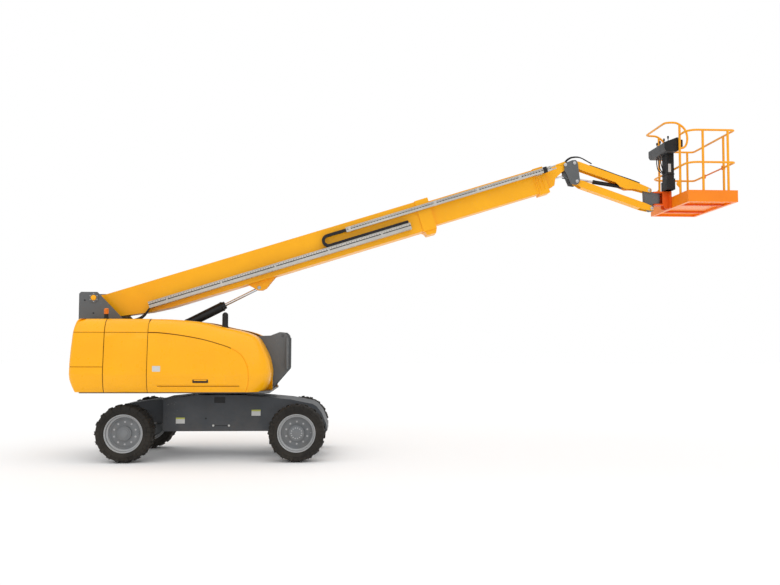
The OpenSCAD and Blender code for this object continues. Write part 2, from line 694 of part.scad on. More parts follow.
// Platform
platform_base = jib_d[1] - 6;
plat_x0 = rot_x + 255;
plat_x1 = plat_x0 + platform_width;
plat_y = platform_length / 2;
floor_z = platform_base + 60;
toe_top = floor_z + toe_height;
top_rail = floor_z + rail_height;
mid_rail = floor_z + mid_rail_height;
turn_flange = 96;
arm_side = [
    // from the turning axis and the platform's underside
    [95, 345], [95, 110], [140, 5], [210, 0], [255 - seat, 0], [255 - seat, 345]
];
module rotator() from_axle() color(red_orange) {
    // Flanges above and below the turning barrel
    for (z = [turn_z[1] + seat, turn_z[0] - 30 - seat]) {
        translate([rot_x, 0, z]) cylinder(h = 30, r = turn_flange);
        box(rot_x, plat_x0 - seat, -turn_flange, turn_flange, z, z + 30);
    }
    both_sides() translate([rot_x, 0, platform_base]) slab(arm_side, turn_flange - 20, turn_flange);
    box(plat_x0 - 45, plat_x0 - seat, -180, 180, platform_base, platform_base + 345);
    for (y = [-520, 440]) box(plat_x0 + 80, plat_x1 - 80, y, y + 80, platform_base + 5, floor_z - 20 - seat);
}
module platform_floor() from_axle() {
    color(orange) difference() {
        box(plat_x0, plat_x1, -plat_y, plat_y, platform_base, toe_top);
        box(plat_x0 + 5, plat_x1 - 5, -plat_y + 5, plat_y - 5, floor_z, toe_top + 1);
        box(plat_x0 + 60, plat_x1 - 60, -plat_y + 60, plat_y - 60, platform_base - 1, floor_z - 20);
    }
}
post_y = 560;
gate_y = 480;
corner_r = 200;
rail_inset = 30;
rail_x0 = plat_x0 + rail_inset;
rail_x1 = plat_x1 - rail_inset;
rail_y = plat_y - rail_inset;
side_posts = [rail_x0 + 290, rail_x1 - 140];
hoop_z = top_rail + 245;
hoop_x = rail_x0 - 285;
// Rails run a little thinner than the posts they meet
rail_r = rail_tube / 2 - 2;
post_r = rail_tube / 2;
// One half of a rail, from the gate or the middle round to the back, with a bent corner
module half_rail(z, front_y, back_y) {
    rod([rail_x0, back_y, z], [rail_x0, rail_y - corner_r, z], rail_r);
    translate([rail_x0 + corner_r, rail_y - corner_r, z]) rotate([0, 0, 90])
        rotate_extrude(angle = 90) translate([corner_r, 0]) circle(r = rail_r);
    rod([rail_x0 + corner_r, rail_y, z], [rail_x1, rail_y, z], rail_r);
    translate([rail_x1, rail_y, z]) sphere(r = rail_r + joint_swell);
    rod([rail_x1, rail_y, z], [rail_x1, front_y, z], rail_r);
}
module platform_rails() from_axle() color(amber) {
    both_sides() {
        half_rail(mid_rail, gate_y, 0);
        half_rail(top_rail, 0, post_y);
        for (post = [
            // x, y, top
            [side_posts[0], rail_y, top_rail], [side_posts[1], rail_y, top_rail],
            [rail_x1, gate_y, top_rail], [rail_x0, post_y, hoop_z - 40]
        ]) rod([post[0], post[1], floor_z], [post[0], post[1], post[2]], post_r);
        translate([rail_x0, post_y, hoop_z - 40]) sphere(r = post_r + joint_swell);
        // Gusset on the boom side of the post
        translate([rail_x0, 0, floor_z]) slab([[-12, 460], [-75, 380], [-12, 290]], post_y - 6, post_y + 6);
        // Half of the guard hoop over the console
        tube_path([
            [rail_x0, post_y, top_rail - 195], [rail_x0 + 110, post_y, top_rail - 195],
            [rail_x0 + 150, post_y, top_rail - 65], [rail_x0 + 110, post_y, top_rail + 95],
            [rail_x0, post_y, hoop_z - 40], [rail_x0 - 90, post_y, hoop_z], [hoop_x, post_y - 60, hoop_z],
            [hoop_x, 0, hoop_z]
        ], rail_r);
    }
}
module entry_bar() from_axle() color(orange) {
    rod([rail_x1, -446, mid_rail], [rail_x1, 446, mid_rail], 16);
    both_sides() difference() {
        box(rail_x1 - 34, rail_x1 + 34, gate_y - 42, gate_y - 2, mid_rail - 42, mid_rail + 42);
        translate([rail_x1, gate_y, mid_rail - 43]) cylinder(h = 86, r = rail_tube / 2 + running_gap);
    }
}
console_y = [-350, 400];
console_side = [
    // from the back of the rails and the top rail
    [-285, -335], [-255, -385], [-15, -385], [30, -315], [30, -145], [-35, -105], [-285, -205]
];
module control_console() from_axle() color(mid_grey) {
    translate([rail_x0, 0, top_rail]) difference() {
        slab(console_side, console_y[0], console_y[1]);
        // The panel lies below the rim of the tray
        slab([[-262, -215], [-48, -129], [-30, -90], [-290, -180]], console_y[0] + 20, console_y[1] - 20);
    }
    // Black case on the turning bracket
    box(rail_x0 - 190, rail_x0 - 38, -130, 130, turn_z[1] + 30 + 2 * seat, top_rail - 384);
}

// One line a node
chassis_frame();
slew_ring();
steer_axle();
drive_axle();
knuckle_left();
knuckle_right();
tie_rod();
tyre_steer_left();
tyre_steer_right();
tyre_drive_left();
tyre_drive_right();
rim_steer_left();
rim_steer_right();
rim_drive_left();
rim_drive_right();
turntable_frame();
counterweight();
side_covers();
hood_left();
hood_right();
engine_block();
beacon();
exhaust_stack();
lift_cylinder();
lift_rod();
boom_base();
hose_tray();
cable_carrier();
root_hoses();
boom_mid();
push_tube();
boom_fly();
level_cylinder();
level_rod();
jib_bracket();
jib_arm();
jib_link();
jib_cylinder();
jib_rod();
jib_head();
rotator();
platform_floor();
platform_rails();
entry_bar();
control_console();
module knuckle_left() { knuckle(1); }
module knuckle_right() { knuckle(-1); }
module tyre_steer_left() from_axle() tyre(0, tyre_y);
module tyre_steer_right() from_axle() tyre(0, -tyre_y);
module tyre_drive_left() from_axle() tyre(wheelbase, tyre_y);
module tyre_drive_right() from_axle() tyre(wheelbase, -tyre_y);
module rim_steer_left() from_axle() rim(0, tyre_y, 135, 90);
module rim_steer_right() from_axle() rim(0, -tyre_y, 135, 90);
module rim_drive_left() from_axle() rim(wheelbase, tyre_y, 150, 120);
module rim_drive_right() from_axle() rim(wheelbase, -tyre_y, 150, 120);
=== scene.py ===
"""Looks of a telescopic boom lift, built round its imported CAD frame.

Lengths are metres. Stations named x are counted from the steered axle, as in the part's source,
and at() moves them to the row frame. Boom stations are u along the boom and v square to it.
"""
import math

import bmesh
import bpy
from mathutils import Matrix, Vector


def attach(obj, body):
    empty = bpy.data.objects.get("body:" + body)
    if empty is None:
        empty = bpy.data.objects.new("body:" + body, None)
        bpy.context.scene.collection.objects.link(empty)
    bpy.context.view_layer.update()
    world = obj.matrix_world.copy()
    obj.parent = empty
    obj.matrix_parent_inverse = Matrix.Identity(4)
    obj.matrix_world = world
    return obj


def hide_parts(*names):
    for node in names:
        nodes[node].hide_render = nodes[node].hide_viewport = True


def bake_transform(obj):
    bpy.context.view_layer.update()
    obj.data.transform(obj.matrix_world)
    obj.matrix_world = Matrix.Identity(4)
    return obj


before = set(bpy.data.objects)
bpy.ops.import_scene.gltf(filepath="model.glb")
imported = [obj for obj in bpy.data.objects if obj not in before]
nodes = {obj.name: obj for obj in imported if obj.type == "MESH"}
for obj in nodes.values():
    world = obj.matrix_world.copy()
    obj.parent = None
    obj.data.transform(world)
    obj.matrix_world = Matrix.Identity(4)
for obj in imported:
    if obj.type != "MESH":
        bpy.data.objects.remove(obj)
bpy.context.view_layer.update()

# ---------------------------------------------------------------- driving dimensions
AXLE_X = -5.3
WHEELBASE = 3.16
TYRE_R = 0.535
TYRE_HALF = 0.215
TYRE_Y = 1.03
RIM_R = 0.337
LUG_DEPTH = 0.022
LUG_COUNT = 18
COVER_HALF = 1.2
COVER_TOP = 2.65
COVER_BASE = 1.286
SPINE_Y = 0.58
SEAM = 0.4
SEAM_HALF = 0.014
SEAM_DEEP = 0.012
BOOM_ANGLE = math.radians(17.4)
BOOM_PIVOT = (-0.82, 3.067)
JIB_SLOPE = math.radians(18.9)
JIB_A = (8.710, 5.885)
JIB_B = (8.760, 5.510)
NOSE_PIN = (8.5212, 5.8466)
JIB_HEAD_PINS = [(10.271, 5.350), (10.321, 4.9755)]
JIB_ROD_PIN = (8.806, 5.572)
JIB_BARREL_PIN = (9.722, 5.433)
LIFT_BASE = (-0.525, 1.846)
LIFT_EYE = (3.072, -0.720)
ROT_X = 10.450
PLAT_X0 = 10.705
PLAT_X1 = 11.695
PLAT_Y = 1.01
FLOOR_Z = 5.0295
TOP_RAIL = 6.3945
MID_RAIL = 5.7565
RAIL_X0 = PLAT_X0 + 0.03
RAIL_X1 = PLAT_X1 - 0.03
RAIL_Y = PLAT_Y - 0.03
SIDES = ((1, "left"), (-1, "right"))
UP = (0, 0, 1)

# Colours, linear RGB
AMBER = (1.0, 0.445, 0.002)
ORANGE = (1.0, 0.245, 0.003)
RED_ORANGE = (0.80, 0.105, 0.004)
SLATE = (0.060, 0.066, 0.075)
MID_GREY = (0.118, 0.124, 0.128)
RIM_GREY = (0.42, 0.43, 0.44)
RUBBER = (0.015, 0.013, 0.011)
BLACK = (0.012, 0.012, 0.013)
CHROME = (0.72, 0.73, 0.75)
CREAM = (0.56, 0.54, 0.50)
# Painted shade for the seams, grooves and sunk lines of the covers
SEAM_SHADE_BROWN = (0.16, 0.035, 0.002)
PALE = (0.62, 0.62, 0.60)
LIME = (0.50, 0.52, 0.10)
DUST = (0.30, 0.25, 0.19)
SLOT_SHADE = (0.05, 0.045, 0.04)


def at(x, y, z):
    """A point given by its station from the steered axle."""
    return Vector((x + AXLE_X, y, z))


BOOM = (Matrix.Translation(at(BOOM_PIVOT[0], 0, BOOM_PIVOT[1]))
        @ Matrix.Rotation(-BOOM_ANGLE, 4, "Y"))
JIB_TOP = Matrix.Translation(at(JIB_A[0], 0, JIB_A[1])) @ Matrix.Rotation(JIB_SLOPE, 4, "Y")
JIB_LOW = Matrix.Translation(at(JIB_B[0], 0, JIB_B[1])) @ Matrix.Rotation(JIB_SLOPE, 4, "Y")


def on_boom(u, y, v):
    return BOOM @ Vector((u, y, v))


def on_jib(u, y, v):
    return JIB_TOP @ Vector((u, y, v))


# ---------------------------------------------------------------- materials
def feed(tree, socket, value):
    """Give a socket a number, a colour or another node's output."""
    if isinstance(value, float):
        socket.default_value = value
    elif isinstance(value, tuple):
        socket.default_value = (*value, 1)
    else:
        tree.links.new(value, socket)


def math_node(tree, operation, *values):
    n = tree.nodes.new("ShaderNodeMath")
    n.operation = operation
    for socket, value in zip(n.inputs, values):
        feed(tree, socket, value)
    return n.outputs["Value"]


def mixed(tree, fac, a, b):
    n = tree.nodes.new("ShaderNodeMix")
    n.data_type = "RGBA"
    for socket, value in (("Factor", fac), ("A", a), ("B", b)):
        feed(tree, n.inputs[socket], value)
    return n.outputs["Result"]


def material(name, colour, rough, metal=0.0, vary=0.10, grain=0.02, grain_scale=220.0,
             dust=0.0, dust_top=1.2, coat=0.0, wear=0.0):
    """A painted, moulded or rolled surface with blotches, grain, dust low down and scuffs."""
    mat = bpy.data.materials.new(name)
    mat.use_nodes = True
    tree = mat.node_tree
    shader = tree.nodes["Principled BSDF"]
    for socket, value in (("Metallic", metal), ("Coat Weight", coat), ("Coat Roughness", 0.12),
                          ("Specular IOR Level", 0.30)):
        shader.inputs[socket].default_value = value
    where = tree.nodes.new("ShaderNodeTexCoord").outputs["Object"]

    def noise_node(scale, detail):
        n = tree.nodes.new("ShaderNodeTexNoise")
        n.inputs["Scale"].default_value = scale
        n.inputs["Detail"].default_value = detail
        tree.links.new(where, n.inputs["Vector"])
        return n.outputs["Fac"]

    def ramp(source, low, high, to_low=0.0, to_high=1.0):
        n = tree.nodes.new("ShaderNodeMapRange")
        for socket, value in (("From Min", low), ("From Max", high), ("To Min", to_low), ("To Max", to_high)):
            n.inputs[socket].default_value = value
        tree.links.new(source, n.inputs["Value"])
        return n.outputs["Result"]

    def times(a, b):
        return math_node(tree, "MULTIPLY", a, b)

    blotch = ramp(noise_node(1.7, 5.0), 0.36, 0.66)
    shade = mixed(tree, blotch, tuple(c * (1 - vary) for c in colour),
                  tuple(min(1.0, c * (1 + vary * 0.6)) for c in colour))
    if wear:
        scuff = times(ramp(noise_node(34.0, 9.0), 0.63, 0.70), ramp(noise_node(3.1, 3.0), 0.50, 0.62))
        shade = mixed(tree, times(scuff, wear), shade, tuple(0.5 * c + 0.18 for c in colour))
    if dust:
        height = tree.nodes.new("ShaderNodeSeparateXYZ")
        tree.links.new(where, height.inputs["Vector"])
        low = times(ramp(height.outputs["Z"], dust_top, 0.0), ramp(noise_node(5.3, 6.0), 0.30, 0.72))
        shade = mixed(tree, times(low, dust), shade, DUST)
    tree.links.new(shade, shader.inputs["Base Color"])
    soft = ramp(noise_node(9.0, 6.0), 0.25, 0.75)
    spread = ramp(soft, 0.0, 1.0, max(0.03, rough - 0.07), min(1.0, rough + 0.09))
    tree.links.new(spread, shader.inputs["Roughness"])
    bump = tree.nodes.new("ShaderNodeBump")
    bump.inputs["Strength"].default_value = grain * 10
    bump.inputs["Distance"].default_value = 0.0006
    tree.links.new(noise_node(grain_scale, 3.0), bump.inputs["Height"])
    tree.links.new(bump.outputs["Normal"], shader.inputs["Normal"])
    return mat


def pierced(name, colour, pitch, hole, across, hole_across, start_v):
    """Sheet metal with a row of slots along the boom, painted dark as the shade in their holes. The slots lie in
    the boom's own directions.
    """
    mat = material(name, colour, 0.38, metal=0.45, vary=0.12, grain=0.02)
    tree = mat.node_tree
    base_colour = tree.nodes["Principled BSDF"].inputs["Base Color"]
    shade = base_colour.links[0].from_socket
    turn = tree.nodes.new("ShaderNodeVectorRotate")
    turn.rotation_type = "Y_AXIS"
    turn.inputs["Center"].default_value = at(BOOM_PIVOT[0], 0, BOOM_PIVOT[1])
    turn.inputs["Angle"].default_value = BOOM_ANGLE
    tree.links.new(tree.nodes.new("ShaderNodeTexCoord").outputs["Object"], turn.inputs["Vector"])
    split = tree.nodes.new("ShaderNodeSeparateXYZ")
    tree.links.new(turn.outputs["Vector"], split.inputs["Vector"])

    def share_of(value, step):
        return math_node(tree, "FRACT", math_node(tree, "DIVIDE", value, step))

    in_along = math_node(tree, "LESS_THAN", share_of(split.outputs["X"], pitch), hole / pitch)
    over = share_of(math_node(tree, "SUBTRACT", split.outputs["Z"], BOOM_PIVOT[1] + start_v), across)
    off_middle = math_node(tree, "ABSOLUTE", math_node(tree, "SUBTRACT", over, 0.5))
    in_over = math_node(tree, "LESS_THAN", off_middle, hole_across / across / 2)
    slots = math_node(tree, "MULTIPLY", in_along, in_over)
    tree.links.new(mixed(tree, slots, shade, SLOT_SHADE), base_colour)
    return mat


M = {
    "amber": material("amber_paint", AMBER, 0.30, vary=0.035, grain=0.010, coat=0.12, wear=0.20),
    "amber_boom": material("boom_paint", AMBER, 0.36, vary=0.05, grain=0.012, coat=0.08, wear=0.35),
    "rail": material("rail_paint", (1.0, 0.40, 0.003), 0.34, vary=0.06, grain=0.02, coat=0.2, wear=0.5),
    "orange": material("toe_board_paint", ORANGE, 0.36, vary=0.07, grain=0.02, coat=0.2, wear=0.5),
    "red": material("support_paint", RED_ORANGE, 0.40, vary=0.10, grain=0.02, wear=0.4),
    "slate": material("chassis_paint", SLATE, 0.42, vary=0.14, grain=0.02, dust=0.20, wear=0.5),
    "grey": material("tower_paint", MID_GREY, 0.45, vary=0.08, grain=0.02, wear=0.4),
    "rim": material("rim_paint", RIM_GREY, 0.40, metal=0.15, vary=0.10, grain=0.02, dust=0.25, wear=0.4),
    # The disc, its back and the hub cap are a darker grey than the barrel: painted shade inside the rim
    "disc": material("rim_disc_painted_shade", (0.19, 0.20, 0.21), 0.45, metal=0.15, vary=0.16, grain=0.03, dust=0.2,
                     wear=0.4),
    "tyre": material("tyre_rubber", RUBBER, 0.74, vary=0.25, grain=0.06, grain_scale=90, dust=0.09,
                     dust_top=1.3, wear=0.15),
    "black": material("black_paint", BLACK, 0.38, vary=0.2, grain=0.015, wear=0.3),
    "plastic": material("black_plastic", (0.016, 0.016, 0.017), 0.55, vary=0.2, grain=0.04, grain_scale=500),
    "hose": material("hose_rubber", (0.014, 0.013, 0.013), 0.60, vary=0.25, grain=0.05, grain_scale=700),
    "chrome": material("rod_chrome", CHROME, 0.16, metal=1.0, vary=0.05, grain=0.003),
    "steel": material("zinc_steel", (0.50, 0.50, 0.50), 0.34, metal=0.9, vary=0.1, grain=0.02),
    "cream": material("pale_sheet", CREAM, 0.42, metal=0.35, vary=0.10, grain=0.02),
    # Painted shade in the covers' seams, grooves and sunk lines
    "seam": material("seam_shadow", SEAM_SHADE_BROWN, 0.8, vary=0.1),
    "pale": material("blank_plate", PALE, 0.5, vary=0.05),
    "lime": material("blank_band", LIME, 0.5, vary=0.08),
    "console": material("console_grey", (0.075, 0.078, 0.082), 0.5, vary=0.10, grain=0.03, grain_scale=400),
    "red_knob": material("stop_button", (0.55, 0.01, 0.01), 0.35, vary=0.05),
    "ring": material("slew_grease", (0.025, 0.025, 0.027), 0.5, metal=0.5, vary=0.2, grain=0.03),
    "engine": material("engine_casting", (0.045, 0.045, 0.048), 0.55, metal=0.3, vary=0.25, grain=0.05),
}
# Slots in both pierced materials are painted dark as the shade in their holes
M["tray"] = pierced("pierced_tray", CREAM, 0.085, 0.052, 0.065, 0.020, -0.530)
M["tube"] = pierced("pierced_tube", CREAM, 0.060, 0.024, 0.096, 0.018, -0.192)


M["lens"] = material("amber_lens", (1.0, 0.24, 0.0), 0.12, vary=0.05, grain=0.0)
M["lens"].node_tree.nodes["Principled BSDF"].inputs["Transmission Weight"].default_value = 0.35


# ---------------------------------------------------------------- building pieces
def finish_piece(obj, mat, body):
    for m in mat if isinstance(mat, list) else [mat]:
        obj.data.materials.append(M[m])
    if body:
        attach(obj, body)
    return obj


def piece(name, bm, mat, body, bevel=0.0, smooth=40.0, segments=2):
    """A mesh from bm, shaded smooth up to an angle, with rounded edges."""
    mesh = bpy.data.meshes.new(name)
    bmesh.ops.recalc_face_normals(bm, faces=bm.faces)
    bm.to_mesh(mesh)
    bm.free()
    obj = bpy.data.objects.new(name, mesh)
    bpy.context.scene.collection.objects.link(obj)
    mesh.shade_smooth()
    mesh.set_sharp_from_angle(angle=math.radians(smooth))
    if bevel:
        round_edges(obj, bevel, segments)
    return finish_piece(obj, mat, body)


def round_edges(obj, width, segments=2):
    mod = obj.modifiers.new("rounded", "BEVEL")
    mod.width = width
    mod.segments = segments
    mod.limit_method = "ANGLE"
    mod.angle_limit = math.radians(35)
    mod.harden_normals = True
    mod.use_clamp_overlap = True


def add_box(bm, lo, hi, frame_matrix=None, index=0):
    """A block between two corners, in a frame such as BOOM or, without one, at stations."""
    m = frame_matrix or Matrix.Translation((AXLE_X, 0, 0))
    corners = [bm.verts.new(m @ Vector((x, y, z)))
               for x in (lo[0], hi[0]) for y in (lo[1], hi[1]) for z in (lo[2], hi[2])]
    for f in ((0, 1, 3, 2), (4, 6, 7, 5), (0, 4, 5, 1), (2, 3, 7, 6), (0, 2, 6, 4), (1, 5, 7, 3)):
        bm.faces.new([corners[i] for i in f]).material_index = index


def outward(side, near, far):
    """Two distances from the middle on one side, in rising order."""
    return sorted((side * near, side * far))


def add_turned(bm, origin, axis, profile, segments=24, index=0, closed=True):
    """A turned solid: profile is (radius, distance along axis) from origin."""
    turn = Vector(axis).normalized().to_track_quat("Z", "Y").to_matrix()
    rings = []
    for radius, along in profile:
        if radius < 1e-6:
            rings.append([bm.verts.new(origin + turn @ Vector((0, 0, along)))])
            continue
        rings.append([bm.verts.new(origin + turn @ Vector((
            radius * math.cos(2 * math.pi * i / segments),
            radius * math.sin(2 * math.pi * i / segments), along))) for i in range(segments)])
    for a, b in zip(rings, rings[1:]):
        for i in range(segments):
            j = (i + 1) % segments
            ring = [a[i % len(a)], a[j % len(a)], b[j % len(b)], b[i % len(b)]]
            ring = [v for k, v in enumerate(ring) if v not in ring[:k]]
            if len(ring) > 2:
                bm.faces.new(ring).material_index = index
    if closed:
        for ring in (rings[0], rings[-1]):
            if len(ring) > 2:
                bm.faces.new(ring).material_index = index


def add_bolt(bm, origin, axis, size, index=0):
    """A washer and a hexagon head."""
    add_turned(bm, origin, axis, [(size * 1.25, 0), (size * 1.25, size * 0.16)], 20, index)
    head = [(size, size * 0.16), (size, size * 0.75), (size * 0.86, size * 0.86)]
    add_turned(bm, origin, axis, head, 6, index)


def add_grid(bm, rows, index=0):
    """Faces between rows of points of equal length."""
    made = [[bm.verts.new(p) for p in row] for row in rows]
    for a, b in zip(made, made[1:]):
        for i in range(len(a) - 1):
            bm.faces.new([a[i], a[i + 1], b[i + 1], b[i]]).material_index = index
    return made


def table_value(table, x):
    """A smooth value from a table of (x, value), rising in x."""
    if x <= table[0][0]:
        return table[0][1]
    for (x0, v0), (x1, v1) in zip(table, table[1:]):
        if x <= x1:
            return v0 + (v1 - v0) * (x - x0) / (x1 - x0)
    return table[-1][1]


def smooth_path(points, count):
    """count points along a rounded curve through the given ones."""
    pts = [Vector(p) for p in points]
    ext = [2 * pts[0] - pts[1]] + pts + [2 * pts[-1] - pts[-2]]
    fine = []
    for i in range(1, len(ext) - 2):
        p0, p1, p2, p3 = ext[i - 1:i + 3]
        for k in range(16):
            t = k / 16
            fine.append(0.5 * ((2 * p1) + (p2 - p0) * t + (2 * p0 - 5 * p1 + 4 * p2 - p3) * t * t
                               + (3 * p1 - p0 - 3 * p2 + p3) * t ** 3))
    fine.append(pts[-1])
    lengths = [0.0]
    for a, b in zip(fine, fine[1:]):
        lengths.append(lengths[-1] + (b - a).length)
    out, k = [], 0
    for i in range(count):
        want = lengths[-1] * i / (count - 1)
        while k < len(fine) - 2 and lengths[k + 1] < want:
            k += 1
        step = lengths[k + 1] - lengths[k]
        out.append(fine[k].lerp(fine[k + 1], (want - lengths[k]) / step if step else 0))
    return out


# ---------------------------------------------------------------- finish of the CAD nodes
FINISH = {
    # node: (material, rounded edge)
    "chassis_frame": ("slate", 0.006), "slew_ring": ("ring", 0.004), "steer_axle": ("slate", 0.006),
    "drive_axle": ("slate", 0.006), "knuckle_left": ("slate", 0.004), "knuckle_right": ("slate", 0.004),
    "tie_rod": ("steel", 0.0), "turntable_frame": ("grey", 0.004), "engine_block": ("engine", 0.02),
    "exhaust_stack": ("black", 0.0), "lift_cylinder": ("black", 0.004), "lift_rod": ("chrome", 0.0),
    "boom_base": ("amber_boom", 0.005), "hose_tray": ("tray", 0.0), "boom_mid": ("amber_boom", 0.005),
    "push_tube": ("tube", 0.003), "boom_fly": ("amber_boom", 0.004), "level_cylinder": ("black", 0.0),
    "level_rod": ("chrome", 0.0), "jib_bracket": ("grey", 0.003), "jib_arm": ("amber_boom", 0.004),
    "jib_link": ("amber_boom", 0.004), "jib_cylinder": ("black", 0.003), "jib_rod": ("chrome", 0.0),
    "jib_head": ("grey", 0.004), "rotator": ("red", 0.004), "platform_floor": ("orange", 0.0),
    "platform_rails": ("rail", 0.0), "entry_bar": ("orange", 0.003),
    "rim_steer_left": ("rim", 0.0), "rim_steer_right": ("rim", 0.0),
    "rim_drive_left": ("rim", 0.0), "rim_drive_right": ("rim", 0.0),
    "cable_carrier": ("plastic", 0.0), "root_hoses": ("hose", 0.0), "beacon": ("black", 0.0),
    "counterweight": ("amber", 0.0), "side_covers": ("amber", 0.0), "hood_left": ("amber", 0.0),
    "hood_right": ("amber", 0.0), "control_console": ("console", 0.006),
    "tyre_steer_left": ("tyre", 0.0), "tyre_steer_right": ("tyre", 0.0),
    "tyre_drive_left": ("tyre", 0.0), "tyre_drive_right": ("tyre", 0.0),
}


def dress(node, mat, rounding):
    obj = nodes[node]
    obj.data.materials.clear()
    obj.data.materials.append(M[mat])
    if rounding:
        weld = obj.modifiers.new("joined", "WELD")
        weld.merge_threshold = 0.00002
        round_edges(obj, rounding)


for node_name, (mat_name, rounding) in FINISH.items():
    dress(node_name, mat_name, rounding)


# ---------------------------------------------------------------- wheels
CARCASS = [
    # radius, half width
    (RIM_R - 0.012, TYRE_HALF - 0.062), (RIM_R + 0.004, TYRE_HALF - 0.050), (RIM_R + 0.022, TYRE_HALF - 0.032),
    (RIM_R + 0.030, TYRE_HALF - 0.026), (RIM_R + 0.033, TYRE_HALF - 0.020), (RIM_R + 0.040, TYRE_HALF - 0.020),
    (RIM_R + 0.060, TYRE_HALF - 0.014), (RIM_R + 0.080, TYRE_HALF - 0.012), (RIM_R + 0.083, TYRE_HALF - 0.002),
    (RIM_R + 0.092, TYRE_HALF - 0.002), (RIM_R + 0.095, TYRE_HALF - 0.012), (TYRE_R - 0.075, TYRE_HALF - 0.018),
    (TYRE_R - LUG_DEPTH - 0.018, TYRE_HALF - 0.026), (TYRE_R - LUG_DEPTH, TYRE_HALF - 0.062),
]
LUG_PLAN = [
    # along the tread, across the tread
    (-0.026, 0.008), (0.030, 0.008), (0.046, TYRE_HALF - 0.070), (0.040, TYRE_HALF - 0.020),
    (0.036, TYRE_HALF), (-0.024, TYRE_HALF), (-0.020, TYRE_HALF - 0.020), (-0.012, TYRE_HALF - 0.070),
]


def shoulder(across, depth):
    """Radius of the tread, or of its floor, at a distance from the middle."""
    over = max(0.0, across - (TYRE_HALF - 0.055))
    return TYRE_R - depth - over * over * 11.0


def build_tyre(name, x, side, body, node):
    bm = bmesh.new()
    centre = at(x, side * TYRE_Y, TYRE_R)
    profile = [(r, w) for r, w in CARCASS] + [(r, -w) for r, w in reversed(CARCASS)]
    add_turned(bm, centre, (0, 1, 0), profile, 96, closed=False)
    pitch = 2 * math.pi / LUG_COUNT
    for half in (1, -1):
        for i in range(LUG_COUNT):
            turn = (i + (0.5 if half < 0 else 0)) * pitch + math.pi / 2
            top, low = [], []
            for along, across in LUG_PLAN:
                a = turn + half * along / TYRE_R
                outer = shoulder(across, 0.0)
                inner = outer - LUG_DEPTH - 0.012 - (0.045 if across > TYRE_HALF - 0.03 else 0.0)
                spread = 1.0 if across < TYRE_HALF - 0.01 else 0.985
                top.append(bm.verts.new(centre + Vector((outer * math.cos(a), half * across * spread,
                                                         outer * math.sin(a)))))
                low.append(bm.verts.new(centre + Vector((inner * math.cos(a), half * across,
                                                         inner * math.sin(a)))))
            bm.faces.new(top)
            bm.faces.new(low)
            for k in range(len(top)):
                j = (k + 1) % len(top)
                bm.faces.new([top[k], top[j], low[j], low[k]])
    obj = piece(name, bm, "tyre", body, bevel=0.003, smooth=30)
    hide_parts(node)


def build_rim(name, x, side, body, node, hub_out, hub_r, driven):
    """Barrel with two flanges, dished disc, hub, nuts and valve."""
    out = (0, side, 0)
    centre = at(x, side * TYRE_Y, TYRE_R)
    hub = 0.020 + hub_out
    barrel = [
        (0.293, 0.060), (0.300, 0.100), (0.321, 0.112), (0.326, 0.150), (0.334, 0.170), (0.343, 0.177),
        (0.351, 0.176), (0.353, 0.168), (0.350, 0.158), (0.338, 0.150), (0.329, 0.140), (0.328, -0.140),
        (0.338, -0.150), (0.350, -0.158), (0.353, -0.168), (0.351, -0.176), (0.343, -0.177),
        (0.334, -0.170), (0.318, -0.130), (0.296, -0.120), (0.293, 0.030), (0.293, 0.060)
    ]
    disc = [
        (0.293, 0.060), (0.284, 0.050), (0.262, 0.044), (0.250, 0.050), (0.236, 0.052), (0.168, 0.048),
        (hub_r + 0.012, 0.048), (hub_r, 0.054), (hub_r - 0.001, hub - 0.008), (hub_r - 0.008, hub),
        (hub_r - 0.026, hub + 0.001), (hub_r - 0.028, hub + 0.014), (hub_r - 0.034, hub + 0.016), (0, hub + 0.016)
    ]
    bm = bmesh.new()
    add_turned(bm, centre, out, barrel, 72, 0, closed=False)
    add_turned(bm, centre, out, disc, 72, 1, closed=False)
    add_turned(bm, centre, out, [(0.293, 0.030), (0.170, 0.024), (0.075, 0.022)], 72, 1, closed=False)
    lock_ring = [(0.355, 0.165), (0.3565, 0.172), (0.352, 0.180), (0.346, 0.179)]
    add_turned(bm, centre, out, lock_ring, 72, 0, closed=False)

    def bolt_circle(count, start, radius, along, size):
        for i in range(count):
            a = 2 * math.pi * (i + start) / count
            foot = centre + Vector((radius * math.cos(a), side * along, radius * math.sin(a)))
            add_bolt(bm, foot, out, size, 2)

    bolt_circle(10, 0.5, 0.205, 0.050, 0.014)
    hub_face = centre + Vector((0, side * (hub + 0.016), 0))
    if driven:
        bolt_circle(14, 0, 0.098, hub + 0.016, 0.008)
        cap = [(0.055, 0), (0.055, 0.006), (0.030, 0.012), (0.014, 0.012), (0.014, 0.020), (0, 0.020)]
    else:
        cap = [(0.084, 0), (0.083, 0.010), (0.070, 0.018), (0.020, 0.021), (0, 0.021)]
    add_turned(bm, hub_face, out, cap, 24 if driven else 32, 1)
    valve = centre + Vector((0.262, side * 0.044, 0))
    add_turned(bm, valve, out, [(0.007, 0), (0.007, 0.040), (0.004, 0.046), (0, 0.046)], 10, 2)
    # Index 1 is the darker disc grey, painted shade inside the rim
    obj = piece(name, bm, ["rim", "disc", "steel"], body, smooth=32)
    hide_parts(node)


WHEELS = [
    # name, station, side, hub length, hub radius, driven
    ("steer_left", 0.0, 1, 0.090, 0.135, False), ("steer_right", 0.0, -1, 0.090, 0.135, False),
    ("drive_left", WHEELBASE, 1, 0.120, 0.150, True), ("drive_right", WHEELBASE, -1, 0.120, 0.150, True),
]
for wheel, station, side, hub_out, hub_r, driven in WHEELS:
    build_tyre("tyre_" + wheel + "_tread", station, side, "wheel_" + wheel, "tyre_" + wheel)
    build_rim("rim_" + wheel + "_turned", station, side, "wheel_" + wheel, "rim_" + wheel,
              hub_out, hub_r, driven)

